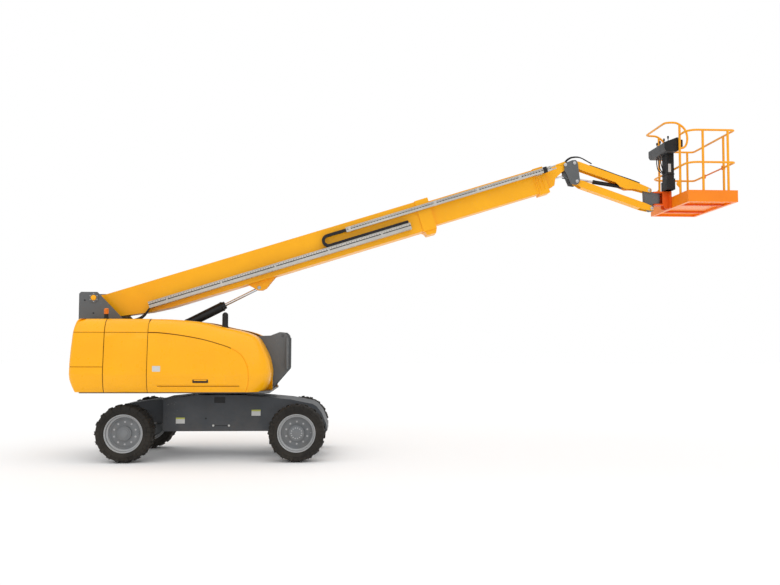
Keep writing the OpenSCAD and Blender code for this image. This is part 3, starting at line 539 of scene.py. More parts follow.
# ---------------------------------------------------------------- covers
SIDE_INSET = [
    # height, how far the cover lies inside its widest place
    (COVER_BASE, 0.098), (1.330, 0.072), (1.400, 0.045), (1.520, 0.017), (1.600, 0.003), (1.627, 0.0),
    (1.645, 0.003), (1.755, 0.010), (2.100, 0.034), (2.392, 0.064), (2.440, 0.078), (2.500, 0.100),
    (2.560, 0.134), (2.600, 0.168), (2.630, 0.212), (2.645, 0.260), (COVER_TOP, 0.320),
]
REAR_INSET = [
    # height, how far the back lies inside its widest place
    (COVER_BASE, 0.150), (1.330, 0.112), (1.371, 0.077), (1.450, 0.034), (1.517, 0.011), (1.608, 0.0),
    (1.791, 0.0), (2.029, 0.017), (2.396, 0.053), (2.500, 0.078), (2.560, 0.100), (2.600, 0.118),
    (2.630, 0.142), (2.645, 0.170), (COVER_TOP, 0.215),
]
CREASE_Z = 2.392
REAR_CREASE_Z = 1.755
GROOVE = 0.004
CREASES = {z + step for z in (CREASE_Z, REAR_CREASE_Z)
           for step in (-2 * GROOVE, -GROOVE, GROOVE, 2 * GROOVE)}
COVER_INNER = 0.44
HEIGHTS = sorted({z for z, _ in SIDE_INSET} - {CREASE_Z, REAR_CREASE_Z} | {z for z, _ in REAR_INSET}
                 - {2.396} | CREASES | {1.70, 1.92, 2.25})
REAR_PLAN = [
    # station, distance from the middle
    (-1.062, 0.44), (-1.062, 0.80), (-1.060, 0.97), (-1.050, 1.06), (-1.022, 1.130), (-0.970, 1.174),
    (-0.880, 1.194), (-0.720, 1.2), (-0.405, 1.2),
]


def cover_body(bm, side, columns, creases):
    """Walls and roof: columns are (station, distance out, normal, how much it is side rather than back)."""
    rows = []
    sunk = {z + step for z in creases for step in (-GROOVE, GROOVE)}
    for x, y, (nx, ny), sidewise in columns:
        row = []
        for z in HEIGHTS:
            inset = sidewise * table_value(SIDE_INSET, z) + (1 - sidewise) * table_value(REAR_INSET, z)
            inset += 0.006 if z in sunk else 0.0
            row.append((x - nx * inset, y - ny * inset, z))
        for step in (0.5, 1.0):
            px, py, _ = row[len(HEIGHTS) - 1]
            px = max(px, -0.79) if sidewise < 0.5 else px
            row.append((px, py + (COVER_INNER - py) * step, COVER_TOP))
        rows.append([at(px, side * py, pz) for px, py, pz in row])
    made = add_grid(bm, rows)
    # The groove's faces take the seam material, painted shade in the crease
    for z in creases:
        low = HEIGHTS.index(z - GROOVE)
        for a, b in zip(made, made[1:]):
            for face in set(a[low].link_faces) & set(b[low + 1].link_faces):
                face.material_index = 1


def build_rear_cover(name, side):
    bm = bmesh.new()
    plan = smooth_path([(x, y, 0) for x, y in REAR_PLAN], 26)
    columns = []
    for i, p in enumerate(plan):
        a, b = plan[max(0, i - 1)], plan[min(len(plan) - 1, i + 1)]
        d = (b - a).normalized()
        columns.append((p.x, p.y, (-d.y, d.x), min(1.0, max(0.0, (d.x - 0.15) / 0.75))))
    cover_body(bm, side, columns, (CREASE_Z, REAR_CREASE_Z))
    piece(name, bm, ["amber", "seam"], "turntable", smooth=50)


def build_panel(name, side):
    bm = bmesh.new()
    stations = [-0.393, -0.389, -0.1, 0.1, 0.389, 0.393]
    columns = [(x, COVER_HALF - (0.004 if abs(x) > 0.391 else 0), (0, 1), 1.0) for x in stations]
    cover_body(bm, side, columns, (CREASE_Z,))
    piece(name, bm, ["amber", "seam"], "turntable", smooth=50)


HOOD_TOP = [
    (0.405, 2.646), (0.70, 2.642), (0.995, 2.626), (1.363, 2.588), (1.731, 2.500), (2.10, 2.424),
    (2.345, 2.330), (2.462, 2.202), (2.600, 1.925), (2.655, 1.666), (2.640, 1.518), (2.590, 1.385),
    (2.520, COVER_BASE),
]
HOOD_CREASE = [
    (0.405, 2.392), (0.634, 2.384), (1.0, 2.340), (1.367, 2.274), (1.644, 2.201), (1.920, 2.108),
    (2.106, 1.998), (2.199, 1.868), (2.247, 1.739), (2.262, 1.627), (2.262, 1.480), (2.240, 1.380),
    (2.205, COVER_BASE),
]
HOOD_COLUMNS = 56
HOOD_X0 = 0.405
HUB_Z = 1.50
SEAM_BESIDE = 0.009
DOOR_POINTS = 14
RIM_POINTS = 15
FOOT_LINE = (0.58, 2.1)


def side_y(z):
    return COVER_HALF - table_value(SIDE_INSET, min(z, 2.392))


def build_hood(name, side, body, node):
    """The hood as one skin, whose inset follows the height, with its door inside a sunk line."""
    bm = bmesh.new()
    top = smooth_path([(x, 0, z) for x, z in HOOD_TOP], HOOD_COLUMNS)
    crease = smooth_path([(x, 0, z) for x, z in HOOD_CREASE], HOOD_COLUMNS)
    rows = []
    for i, (c, o) in enumerate(zip(crease, top)):
        run = (o - c).length
        depth = min(0.32, 0.12 + run * 0.60)
        away = (o - c).normalized()
        row = []
        # Door side, from a hub inside the panel out to the crease
        hub = Vector((HOOD_X0 + (min(c.x, 2.1) - HOOD_X0) * 0.94, 0, HUB_Z))
        door = [hub.lerp(c, k / (DOOR_POINTS - 1)) for k in range(DOOR_POINTS - 1)] + [c - away * SEAM_BESIDE]
        row += [(p.x, side_y(p.z), p.z) for p in door]
        for half in (-GROOVE, GROOVE):
            row.append((c.x + away.x * half, side_y(c.z) - 0.010, c.z + away.z * half))
        for k in range(RIM_POINTS):
            t = SEAM_BESIDE / run
            t += (1 - t) * math.sin(math.pi / 2 * k / (RIM_POINTS - 1))
            p = c.lerp(o, t)
            row.append((p.x, side_y(p.z) - depth * (1 - math.sqrt(max(0.0, 1 - t * t))), p.z))
        px, py, pz = row[-1]
        for step in (0.35, 0.7, 1.0):
            row.append((px, py + (SPINE_Y - py) * step, pz))
        rows.append([at(x, side * y, z) for x, y, z in row])
    made = add_grid(bm, rows)
    # The faces across the sunk door line take the seam material, painted shade in the groove
    for i in range(int(HOOD_COLUMNS * 0.62)):
        for k in range(DOOR_POINTS - 1, DOOR_POINTS + 2):
            for face in set(made[i][k].link_faces) & set(made[i + 1][k + 1].link_faces):
                face.material_index = 1
    # Rear strip down to the foot, and the foot itself, close the skin below the hub line
    hub_line = [row[0] for row in made]
    foot_rows = [hub_line]
    hub_end = hub_line[-1].co.x - AXLE_X
    foot_end = HOOD_CREASE[-1][0]
    for z in (1.45, 1.412, 1.406, 1.394, 1.388, 1.34, COVER_BASE):
        new = []
        for v in hub_line:
            hub_x = v.co.x - AXLE_X
            share = (v.co.z - z) / (v.co.z - COVER_BASE)
            x = hub_x + (hub_x - HOOD_X0) * (foot_end - hub_end) / (hub_end - HOOD_X0) * share
            sunk = 0.008 if z in (1.406, 1.394) and FOOT_LINE[0] < x < FOOT_LINE[1] else 0.0
            new.append(bm.verts.new(at(x, side * (side_y(z) - sunk), z)))
        foot_rows.append(new)
    for a, b in zip(foot_rows, foot_rows[1:]):
        for i in range(HOOD_COLUMNS - 1):
            x = (a[i].co.x + a[i + 1].co.x) / 2 - AXLE_X
            f = bm.faces.new([a[i], a[i + 1], b[i + 1], b[i]])
            # The sunk foot line takes the seam material, painted shade in the groove
            if a is foot_rows[3] and FOOT_LINE[0] < x < FOOT_LINE[1]:
                f.material_index = 1
    obj = piece(name, bm, ["amber", "seam"], body, smooth=50)
    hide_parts(node)


def build_latch(name, side, body):
    """Sunk paddle latch, its lip and the pale blank plate."""
    blocks = [
        # name's end, stations, heights, face, how far it goes out, material, slot, rounding, its segments
        ("", (1.236, 1.524), (1.462, 1.528), 1.188, -0.03, "plastic", "black_plastic", 0.012, 3),
        ("_lip", (1.262, 1.498), (1.500, 1.520), 1.196, -0.02, "amber", "body_amber", 0.004, 2),
        ("_plate", (0.500, 0.647), (1.646, 1.774), side_y(1.71), 0.003, "pale", "cream_tube", 0.001, 2),
    ]
    for ending, (x0, x1), (z0, z1), face, out, mat, slot, rounding, segments in blocks:
        bm = bmesh.new()
        y0, y1 = outward(side, face, face + out)
        add_box(bm, (x0, y0, z0), (x1, y1, z1))
        piece(name + ending, bm, mat, body, bevel=rounding, segments=segments)


for side, word in SIDES:
    build_rear_cover("rear_cover_" + word, side)
    build_panel("cover_panel_" + word, side)
    build_hood("hood_skin_" + word, side, "hood_" + word, "hood_" + word)
    build_latch("hood_latch_" + word, side, "hood_" + word)


def build_spine(name, side):
    """Fixed strip between hood and tower plate, with the seams' dark backing."""
    bm = bmesh.new()
    top = smooth_path([(x, 0, z) for x, z in HOOD_TOP], 48)
    rows = [[at(p.x, side * y, p.z) for y in (0.42, 0.50, 0.572)] for p in top]
    add_grid(bm, rows)
    inner = [[at(p.x, side * 0.572, z) for z in (p.z, max(COVER_BASE, p.z - 0.45))] for p in top]
    add_grid(bm, inner)
    obj = piece(name, bm, "amber", "turntable", smooth=50)
    sheet = obj.modifiers.new("sheet", "SOLIDIFY")
    sheet.thickness = 0.005
    sheet.offset = -1
    return obj


spines = [build_spine("spine_" + word, side) for side, word in SIDES]
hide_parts("side_covers")


# Dark strips behind the gaps between cover panels: painted shade in the seams
def build_seam_shade_strips():
    bm = bmesh.new()
    for side, _ in SIDES:
        for x in (-SEAM, SEAM):
            rows = []
            for dx in (-SEAM_HALF, SEAM_HALF):
                row = [at(x + dx, side * (COVER_HALF - SEAM_DEEP - table_value(SIDE_INSET, z)),
                          min(z, COVER_TOP - SEAM_DEEP)) for z in HEIGHTS]
                row.append(at(x + dx, side * COVER_INNER, COVER_TOP - SEAM_DEEP))
                rows.append(row)
            add_grid(bm, rows)
    piece("cover_seam_shade", bm, "seam", "turntable")


build_seam_shade_strips()


def build_counterweight_middle():
    bm = bmesh.new()
    add_box(bm, (-0.995, -0.445, COVER_BASE), (-0.912, 0.445, 2.24))
    add_box(bm, (-0.995, -0.374, COVER_BASE), (-0.72, 0.374, 2.20))
    obj = piece("counterweight_middle", bm, "amber", "turntable", bevel=0.012, segments=3)
    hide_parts("counterweight")


build_counterweight_middle()


# ---------------------------------------------------------------- chassis fittings
CHASSIS_Y = 0.48
STICKERS = [
    # low x, high x, low z, high z
    (0.805, 0.975, 0.648, 0.761), (2.249, 2.421, 0.795, 0.909),
]
PLATE_BOLTS = [(1.519, 0.609), (1.820, 0.608)]


def build_chassis_fittings(side, word):
    def block(bm, lo, hi, proud, index=0):
        y = outward(side, CHASSIS_Y - 0.002, CHASSIS_Y + proud)
        add_box(bm, (lo[0], y[0], lo[1]), (hi[0], y[1], hi[1]), None, index)

    bm = bmesh.new()
    for x0, x1, z0, z1 in STICKERS:
        band = z0 + (z1 - z0) * 0.76
        block(bm, (x0, z0), (x1, band), 0.0012, 0)
        block(bm, (x0, band), (x1, z1), 0.0012, 1)
    piece("blank_plates_" + word, bm, ["pale", "lime"], "chassis")
    bm = bmesh.new()
    for x, z in PLATE_BOLTS:
        add_bolt(bm, at(x, side * CHASSIS_Y, z), (0, side, 0), 0.017)
    piece("chassis_bolts_" + word, bm, "pale", "chassis")
    # Black flats one millimetre proud, painted shade where the chassis has openings
    bm = bmesh.new()
    block(bm, (1.540, 0.600), (1.800, 0.612), 0.001)
    block(bm, (1.530, 1.040), (1.740, 1.155), 0.001)
    add_turned(bm, at(1.376, side * CHASSIS_Y, 0.744), (0, side, 0), [(0.018, 0), (0.018, 0.001)], 20)
    piece("chassis_opening_shade_" + word, bm, "black", "chassis")
    bm = bmesh.new()
    for x, z in ((0.62, 1.05), (0.62, 0.90), (0.62, 0.75)):
        add_bolt(bm, at(x, side * CHASSIS_Y, z), (0, side, 0), 0.013)
    piece("chassis_screws_" + word, bm, "slate", "chassis")


def hose(name, points, radius, body):
    """A hose held at both ends, drawn through points that are already smooth."""
    curve = bpy.data.curves.new(name, "CURVE")
    curve.dimensions = "3D"
    curve.bevel_depth = radius
    curve.bevel_resolution = 4
    curve.use_fill_caps = True
    spline = curve.splines.new("POLY")
    spline.points.add(len(points) - 1)
    for p, q in zip(spline.points, points):
        p.co = (*q, 1)
    obj = bpy.data.objects.new(name, curve)
    bpy.context.scene.collection.objects.link(obj)
    finish_piece(obj, "hose", body)
    return obj


for side, word in SIDES:
    build_chassis_fittings(side, word)


# ---------------------------------------------------------------- turntable fittings
def build_beacon():
    bm = bmesh.new()
    foot = at(-0.465, -0.8, COVER_TOP)
    base = [(0.050, 0.001), (0.050, 0.018), (0.041, 0.026), (0.041, 0.082), (0.045, 0.090)]
    add_turned(bm, foot, UP, base, 32, 0)
    lens = [(0.042, 0.090), (0.043, 0.096)]
    for i in range(6):
        z = 0.096 + i * 0.015
        lens += [(0.0425, z), (0.0405, z + 0.007), (0.0425, z + 0.014)]
    lens += [(0.038, 0.190), (0.028, 0.197), (0.012, 0.200), (0, 0.200)]
    add_turned(bm, foot, (0, 0, 1), lens, 32, 1)
    obj = piece("beacon_lens", bm, ["black", "lens"], "turntable")
    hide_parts("beacon")


def build_tower_fittings():
    bm = bmesh.new()
    for side in (1, -1):
        pin = at(BOOM_PIVOT[0], side * 0.432, BOOM_PIVOT[1])
        add_turned(bm, pin, (0, side, 0), [(0.052, 0), (0.052, 0.010), (0.044, 0.016), (0, 0.016)], 32, 1)
        for dx, dz in ((-0.17, -0.05), (0.0, -0.30)):
            add_turned(bm, at(BOOM_PIVOT[0] + dx, side * 0.420, BOOM_PIVOT[1] + dz), (0, side, 0),
                       [(0.016, 0), (0.016, 0.003)], 16, 2)
        for i in range(6):
            a = 2 * math.pi * (i + 0.5) / 6
            foot = pin + Vector((0.075 * math.cos(a), -side * 0.0005, 0.075 * math.sin(a)))
            add_bolt(bm, foot, (0, side, 0), 0.008, 0)
    piece("tower_pins", bm, ["steel", "amber", "black"], "turntable")


def build_exhaust():
    bm = bmesh.new()
    foot = at(1.722, -0.49, 2.40)
    stack = [(0.080, 0.080), (0.080, 0.098), (0.066, 0.108), (0.0575, 0.130), (0.0570, 0.335)]
    stack += [(0.057 * math.cos(a), 0.335 + 0.057 * math.sin(a)) for a in (0.3, 0.6, 0.9, 1.2, 1.4)]
    stack.append((0, 0.392))
    add_turned(bm, foot, (0, 0, 1), stack, 40)
    add_turned(bm, foot, (0, 0, 1), [(0.0585, 0.230), (0.0585, 0.242)], 40)
    obj = piece("exhaust_pipe", bm, "black", "turntable", smooth=30)
    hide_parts("exhaust_stack")


build_beacon()
build_tower_fittings()
build_exhaust()


# ---------------------------------------------------------------- boom fittings
TRAY = (0.950, 6.320, -0.360, -0.505, -0.3753)
TUBE = (5.060, 9.390, -0.332, -0.192, -0.096)


def row_of_dots(bm, u0, u1, pitch, y, v, radius, index):
    count = int((u1 - u0) / pitch)
    for i in range(count):
        centre = on_boom(u0 + (i + 0.5) * pitch, y, v)
        add_turned(bm, centre, (0, -1, 0), [(radius, -0.001), (radius, 0.001)], 8, index)


def build_tray():
    """Pierced strip over a black strip of painted shadow for a gap and a bright rounded rail, inside a thin
    trough; its holes are black dots of painted shade.
    """
    u0, u1, y, v0, v1 = TRAY
    bm = bmesh.new()
    add_box(bm, (u0, y + 0.003, v0 + 0.004), (u1, y + 0.006, v1), BOOM, 0)
    add_box(bm, (u0, y + 0.003, v0), (u1, -0.2105, v0 + 0.006), BOOM, 0)
    add_box(bm, (u0, -0.216, v0), (u1, -0.2105, v1), BOOM, 0)
    add_box(bm, (u0, y, v1 - 0.050), (u1, y + 0.004, v1), BOOM, 0)
    # Black strip painted as the shadow in the gap under the pierced strip
    add_box(bm, (u0, y + 0.001, v1 - 0.066), (u1, y + 0.005, v1 - 0.050), BOOM, 1)
    for i in range(9):
        a0, a1 = math.pi * i / 9, math.pi * (i + 1) / 9
        add_box(bm, (u0, y + 0.003 - 0.0035 * math.sin((a0 + a1) / 2), v0 + 0.030 - 0.028 * math.cos(a0)),
                (u1, y + 0.004, v0 + 0.030 - 0.028 * math.cos(a1)), BOOM, 0)
    # Black dots painted as the shade seen through the holes
    row_of_dots(bm, u0, u1, 0.026, y, v1 - 0.012, 0.0062, 1)
    row_of_dots(bm, u0 + 0.013, u1, 0.052, y, v1 - 0.034, 0.0080, 1)
    for u in (1.3, 2.4, 3.5, 4.6, 5.7):
        add_box(bm, (u, y - 0.0002, v0), (u + 0.035, y + 0.004, v1 - 0.050), BOOM, 0)
        add_box(bm, (u, -0.2105, v0 + 0.03), (u + 0.035, -0.195, v1 - 0.02), BOOM, 0)
    obj = piece("hose_tray_sheet", bm, ["cream", "black"], "boom_base",
                bevel=0.0008, segments=1)
    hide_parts("hose_tray")


def build_push_tube():
    u0, u1, y, v0, v1 = TUBE
    bm = bmesh.new()
    # Black dots painted as the shade in the tube's holes, and a thin black line along the tube
    row_of_dots(bm, u0, u1, 0.034, y, v1 - 0.016, 0.0070, 1)
    row_of_dots(bm, u0 + 0.017, u1, 0.034, y, v1 - 0.034, 0.0055, 1)
    add_box(bm, (u0, y - 0.001, v1 - 0.052), (u1, y + 0.001, v1 - 0.045), BOOM, 1)
    for u in (u0 + 0.05, 6.9, 7.8, 8.7):
        add_box(bm, (u, y - 0.002, v0 - 0.002), (u + 0.05, y + 0.002, v1 + 0.002), BOOM, 0)
    piece("push_tube_hole_shade", bm, ["cream", "black"], "boom_mid")
    bm = bmesh.new()
    add_box(bm, (u1 - 0.17, y - 0.006, v0 - 0.012), (u1 - 0.09, y + 0.06, v1 + 0.012), BOOM, 0)
    fitting = [(0.016, 0), (0.016, 0.035), (0.011, 0.038), (0.011, 0.075), (0.015, 0.075), (0.015, 0.105),
               (0, 0.105)]
    for v in (v0 + 0.02, v1 - 0.02):
        add_turned(bm, on_boom(u1, -0.292, v), BOOM.to_3x3() @ Vector((1, 0, 0)), fitting, 12, 1)
    piece("push_tube_clamp", bm, ["black", "steel"], "boom_mid", bevel=0.002)


CHAIN_Y = (-0.322, -0.262)
CHAIN_MID = -0.2445
CHAIN_R = 0.1005
CHAIN_U = 4.665
CHAIN_LOW_END = TRAY[1] - 0.05
CHAIN_TOP_END = 8.50


def build_chain():
    """Side plates of the cable carrier's links, along its two runs and round its loop."""
    bm = bmesh.new()
    pitch = 0.062
    stations = []
    for v, end in ((CHAIN_MID - CHAIN_R, CHAIN_LOW_END), (CHAIN_MID + CHAIN_R, CHAIN_TOP_END)):
        u = CHAIN_U
        while u < end:
            stations.append((u, v, 0.0))
            u += pitch
    turns = round(math.pi * CHAIN_R / pitch)
    for i in range(1, turns):
        a = math.pi * i / turns
        stations.append((CHAIN_U - CHAIN_R * math.sin(a), CHAIN_MID - CHAIN_R * math.cos(a), a))
    for u, v, a in stations:
        local = BOOM @ Matrix.Translation((u, 0, v)) @ Matrix.Rotation(a, 4, "Y")
        add_box(bm, (-0.026, CHAIN_Y[0] - 0.003, -0.026), (0.026, CHAIN_Y[0] + 0.002, 0.026), local)
        add_turned(bm, local @ Vector((0.031, CHAIN_Y[0] - 0.001, 0)), (0, -1, 0), [(0.007, 0), (0.007, 0.005)], 8)
    piece("carrier_links", bm, "plastic", "boom_base", bevel=0.002)


def build_root_hoses():
    """Hoses that leave the tray, hang under the boom's root and go up into it."""
    for i in range(3):
        y = -0.240 - 0.034 * i
        sag = 0.022 * i
        points = smooth_path([on_boom(1.02, y, -0.455), on_boom(0.93, y, -0.490 - sag / 2),
                              on_boom(0.80, y, -0.575 - sag), on_boom(0.64, y, -0.618 - sag),
                              on_boom(0.46, y, -0.590 - sag), on_boom(0.32, y, -0.500 - sag / 2),
                              on_boom(0.24, y, -0.380), on_boom(0.20, y, -0.250)], 32)
        obj = hose("root_hose_%d" % i, points, 0.014, "boom_base")
        if i == 0:
            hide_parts("root_hoses")


def build_boom_trim():
    """Stiffening ribs, pin caps and the lift cylinder's gland."""
    bm = bmesh.new()
    for u in (9.02, 9.10, 9.18):
        add_box(bm, (u, -0.2175, -0.50), (u + 0.012, -0.2095, -0.22), BOOM)
    piece("mid_ribs", bm, "amber_boom", "boom_mid", bevel=0.002)
    bm = bmesh.new()
    for side in (1, -1):
        pin = on_boom(LIFT_EYE[0], side * 0.092, LIFT_EYE[1])
        add_turned(bm, pin, (0, side, 0), [(0.034, 0), (0.034, 0.010), (0.026, 0.014), (0, 0.014)], 24)
    piece("lift_pin_caps", bm, "steel", "boom_base")
    bm = bmesh.new()
    base = at(LIFT_BASE[0], 0, LIFT_BASE[1])
    eye = on_boom(LIFT_EYE[0], 0, LIFT_EYE[1])
    along = (eye - base).normalized()
    add_turned(bm, base + along * 2.355, along, [(0.0935, 0), (0.099, 0.004), (0.099, 0.026), (0.088, 0.034),
               (0.077, 0.060), (0.0765, 0.084), (0.060, 0.090), (0.034, 0.091)], 40)
    add_turned(bm, base + along * 1.60, along, [(0.0935, 0), (0.097, 0.002), (0.097, 0.030), (0.0935, 0.032)], 40)
    piece("lift_gland", bm, "black", "lift_cylinder", smooth=30)


build_tray()
build_push_tube()
build_chain()
build_root_hoses()
build_boom_trim()


# ---------------------------------------------------------------- jib fittings
def build_nose_hoses():
    arch = [(8.535, 5.902), (8.585, 5.955), (8.660, 5.998), (8.744, 6.012)]
    over = [(8.744, 6.012), (8.820, 6.008), (8.890, 5.985), (8.980, 5.935), (9.076, 5.882)]
    for i in range(3):
        y = -0.095 + 0.034 * i
        lift = 0.012 * i
        points = smooth_path([at(x, y, z + lift) for x, z in arch], 16)
        hose("nose_hose_%d" % i, points, 0.012, "jib_bracket")
        bm = bmesh.new()
        path = smooth_path([at(x, y, z + lift) for x, z in over], 20)
        add_sweep(bm, path, 0.012)
        obj = piece("jib_hose_%d" % i, bm, "hose", None)
        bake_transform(obj)
    for i in range(3):
        y = -0.040 + 0.030 * i
        points = smooth_path([on_jib(0.33 + u, y, 0.092 + dv) for u, dv in
                              ((0.0, 0.0), (0.3, 0.004), (0.6, 0.0), (0.9, 0.004), (1.10, 0.0))], 20)
        hose("jib_line_%d" % i, points, 0.009, "jib_arm")


def ring_round(centre, across, up, radius, sides, count):
    """count points of a ring that has this many sides."""
    angles = [2 * math.pi * k / sides for k in range(count)]
    return [centre + (across * math.cos(a) + up * math.sin(a)) * radius for a in angles]


def add_sweep(bm, path, radius, sides=12):
    rings = []
    for i, p in enumerate(path):
        d = (path[min(i + 1, len(path) - 1)] - path[max(i - 1, 0)]).normalized()
        across = Vector((0, 1, 0))
        up = d.cross(across).normalized()
        rings.append(ring_round(p, across, up, radius, sides, sides + 1))
    add_grid(bm, rings)


def add_plate(bm, outline, y0, y1, matrix, index=0):
    """A flat plate whose outline is in (along, up), between two distances from the middle."""
    low = [bm.verts.new(matrix @ Vector((u, y0, v))) for u, v in outline]
    high = [bm.verts.new(matrix @ Vector((u, y1, v))) for u, v in outline]
    bm.faces.new(low).material_index = index
    bm.faces.new(high).material_index = index
    for k in range(len(low)):
        j = (k + 1) % len(low)
        bm.faces.new([low[k], low[j], high[j], high[k]]).material_index = index


ARM_SIDE = [
    # along the arm from its pin on the bracket, up
    (-0.030, -0.045), (-0.055, -0.020), (-0.058, 0.015), (-0.035, 0.045), (0.0, 0.058), (0.10, 0.072),
    (1.40, 0.066), (1.60, 0.052), (1.675, 0.044), (1.702, 0.015), (1.700, -0.018), (1.675, -0.045),
    (1.60, -0.056), (1.36, -0.078), (1.28, -0.104), (1.20, -0.136), (1.05, -0.130), (0.94, -0.082),
    (0.10, -0.080), (0.03, -0.056),
]
LINK_SIDE = [
    (-0.030, -0.045), (-0.050, -0.010), (-0.040, 0.030), (0.0, 0.048), (0.12, 0.062), (1.50, 0.058),
    (1.62, 0.046), (1.68, 0.030), (1.698, -0.010), (1.68, -0.040), (1.60, -0.062), (1.48, -0.080), (0.12, -0.080),
    (0.03, -0.056),
]


def build_jib_arms():
    for name, outline, matrix, node, flange in (
            ("jib_arm_channel", ARM_SIDE, JIB_TOP, "jib_arm", (0.060, 0.0695)),
            ("jib_link_channel", LINK_SIDE, JIB_LOW, "jib_link", (-0.079, -0.070))):
        bm = bmesh.new()
        for side in (1, -1):
            y = outward(side, 0.086, 0.100)
            add_plate(bm, outline, y[0], y[1], matrix)
        add_box(bm, (0.13, -0.087, flange[0]), (1.42, 0.087, flange[1]), matrix)
        if node == "jib_arm":
            add_box(bm, (1.19, -0.087, -0.080), (1.28, 0.087, -0.070), matrix)
            lug = [(0.98, -0.060), (1.05, -0.128), (1.20, -0.134), (1.26, -0.060)]
            for side in (1, -1):
                add_plate(bm, lug, *outward(side, 0.046, 0.058), matrix)
        obj = piece(name, bm, "amber_boom", node, bevel=0.003)
        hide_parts(node)


def build_jib_cylinder():
    """The barrel hangs on the arm and slides over a rod held by the bracket."""
    base = at(JIB_ROD_PIN[0], 0, JIB_ROD_PIN[1])
    eye = at(JIB_BARREL_PIN[0], 0, JIB_BARREL_PIN[1])
    along = (eye - base).normalized()
    rod = [(0, 0.0), (0.020, 0.0), (0.020, 0.800), (0, 0.800)]
    rod_eye = [(0.022, 0), (0.040, 0.002), (0.040, 0.078), (0.022, 0.080)]
    barrel = [(0.0, 0.0), (0.036, 0.0), (0.040, 0.030), (0.041, 0.560), (0.043, 0.562), (0.043, 0.600),
              (0.036, 0.612), (0.022, 0.614)]
    barrel_eye = [(0.020, 0), (0.038, 0.002), (0.038, 0.086), (0.020, 0.088)]
    for name, foot, way, body, body_sides, ring, ring_half, mat, slot, node in (
            ("jib_piston_rod", base, along, rod, 28, rod_eye, 0.040, "chrome", "rod_chrome", "jib_cylinder"),
            ("jib_barrel", eye, -along, barrel, 32, barrel_eye, 0.044, "black", "black_paint", "jib_rod")):
        bm = bmesh.new()
        add_turned(bm, foot, way, body, body_sides)
        add_turned(bm, foot + Vector((0, -ring_half, 0)), (0, 1, 0), ring, 28)
        obj = piece(name, bm, mat, node, smooth=35)
        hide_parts(node)


def build_jib_pins():
    radius = 0.034
    cap = [(radius, 0), (radius, 0.008), (radius * 0.8, 0.012), (0, 0.012)]
    for name, centres, y, body in (
            ("bracket_pin_caps", [NOSE_PIN, JIB_A, JIB_B], 0.140, "jib_bracket"),
            ("head_pin_caps", JIB_HEAD_PINS, 0.1005, "jib_head")):
        bm = bmesh.new()
        for x, z in centres:
            for side in (1, -1):
                add_turned(bm, at(x, side * y, z), (0, side, 0), cap, 24)
        piece(name, bm, "steel", body)


build_nose_hoses()
build_jib_arms()
build_jib_cylinder()
build_jib_pins()


# ---------------------------------------------------------------- platform fittings
def build_deck():
    """Chequered plate between the toe boards."""
    bm = bmesh.new()
    edge = 0.012
    add_box(bm, (PLAT_X0 + edge, -PLAT_Y + edge, FLOOR_Z), (PLAT_X1 - edge, PLAT_Y - edge, FLOOR_Z + 0.002))
    pitch = 0.062
    nx, ny = int((PLAT_X1 - PLAT_X0 - 0.08) / pitch), int((2 * PLAT_Y - 0.08) / pitch)
    for i in range(nx):
        for k in range(ny):
            turn = Matrix.Rotation(math.radians(45 if (i + k) % 2 else -45), 4, "Z")
            place = at(PLAT_X0 + 0.06 + i * pitch, -PLAT_Y + 0.06 + k * pitch, FLOOR_Z + 0.002)
            add_box(bm, (-0.014, -0.003, 0), (0.014, 0.003, 0.0015), Matrix.Translation(place) @ turn)
    piece("deck_plate", bm, "cream", "platform")


CONSOLE_SIDE = [
    # from the rear rail and the top rail
    (-0.285, -0.265), (-0.255, -0.315), (-0.015, -0.315), (0.050, -0.245), (0.050, -0.075),
    (-0.025, -0.035), (-0.285, -0.135),
]
CONSOLE_Y = (-0.500, 0.400)
CASE_Y = (-0.300, -0.030)


def panel_point(x, y):
    """A foot on the console's sloping panel."""
    share = (x + 0.285) / 0.260
    return at(RAIL_X0 + x, y, TOP_RAIL - 0.169 + 0.100 * share)


def build_console_tray():
    """An open tray of sheet, its panel sunk below the rims of the two ends."""
    place = Matrix.Translation(at(RAIL_X0, 0, TOP_RAIL))
    near, far = CONSOLE_Y
    rim = 0.014
    bm = bmesh.new()
    add_plate(bm, CONSOLE_SIDE, near, near + rim, place)
    add_plate(bm, CONSOLE_SIDE, far - rim, far, place)
    for (xa, za), (xb, zb) in zip(CONSOLE_SIDE, CONSOLE_SIDE[1:] + CONSOLE_SIDE[:1]):
        if (xa, za) == CONSOLE_SIDE[5]:
            xa, za, xb, zb = xa + 0.010, za - 0.034, xb + 0.004, zb - 0.034
        dx, dz = xb - xa, zb - za
        length = math.hypot(dx, dz)
        nx, nz = dz / length * 0.008, -dx / length * 0.008
        add_plate(bm, [(xa, za), (xb, zb), (xb - nx, zb - nz), (xa - nx, za - nz)], near, far, place)
    obj = piece("console_tray", bm, "console", "platform", bevel=0.003)
    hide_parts("control_console")


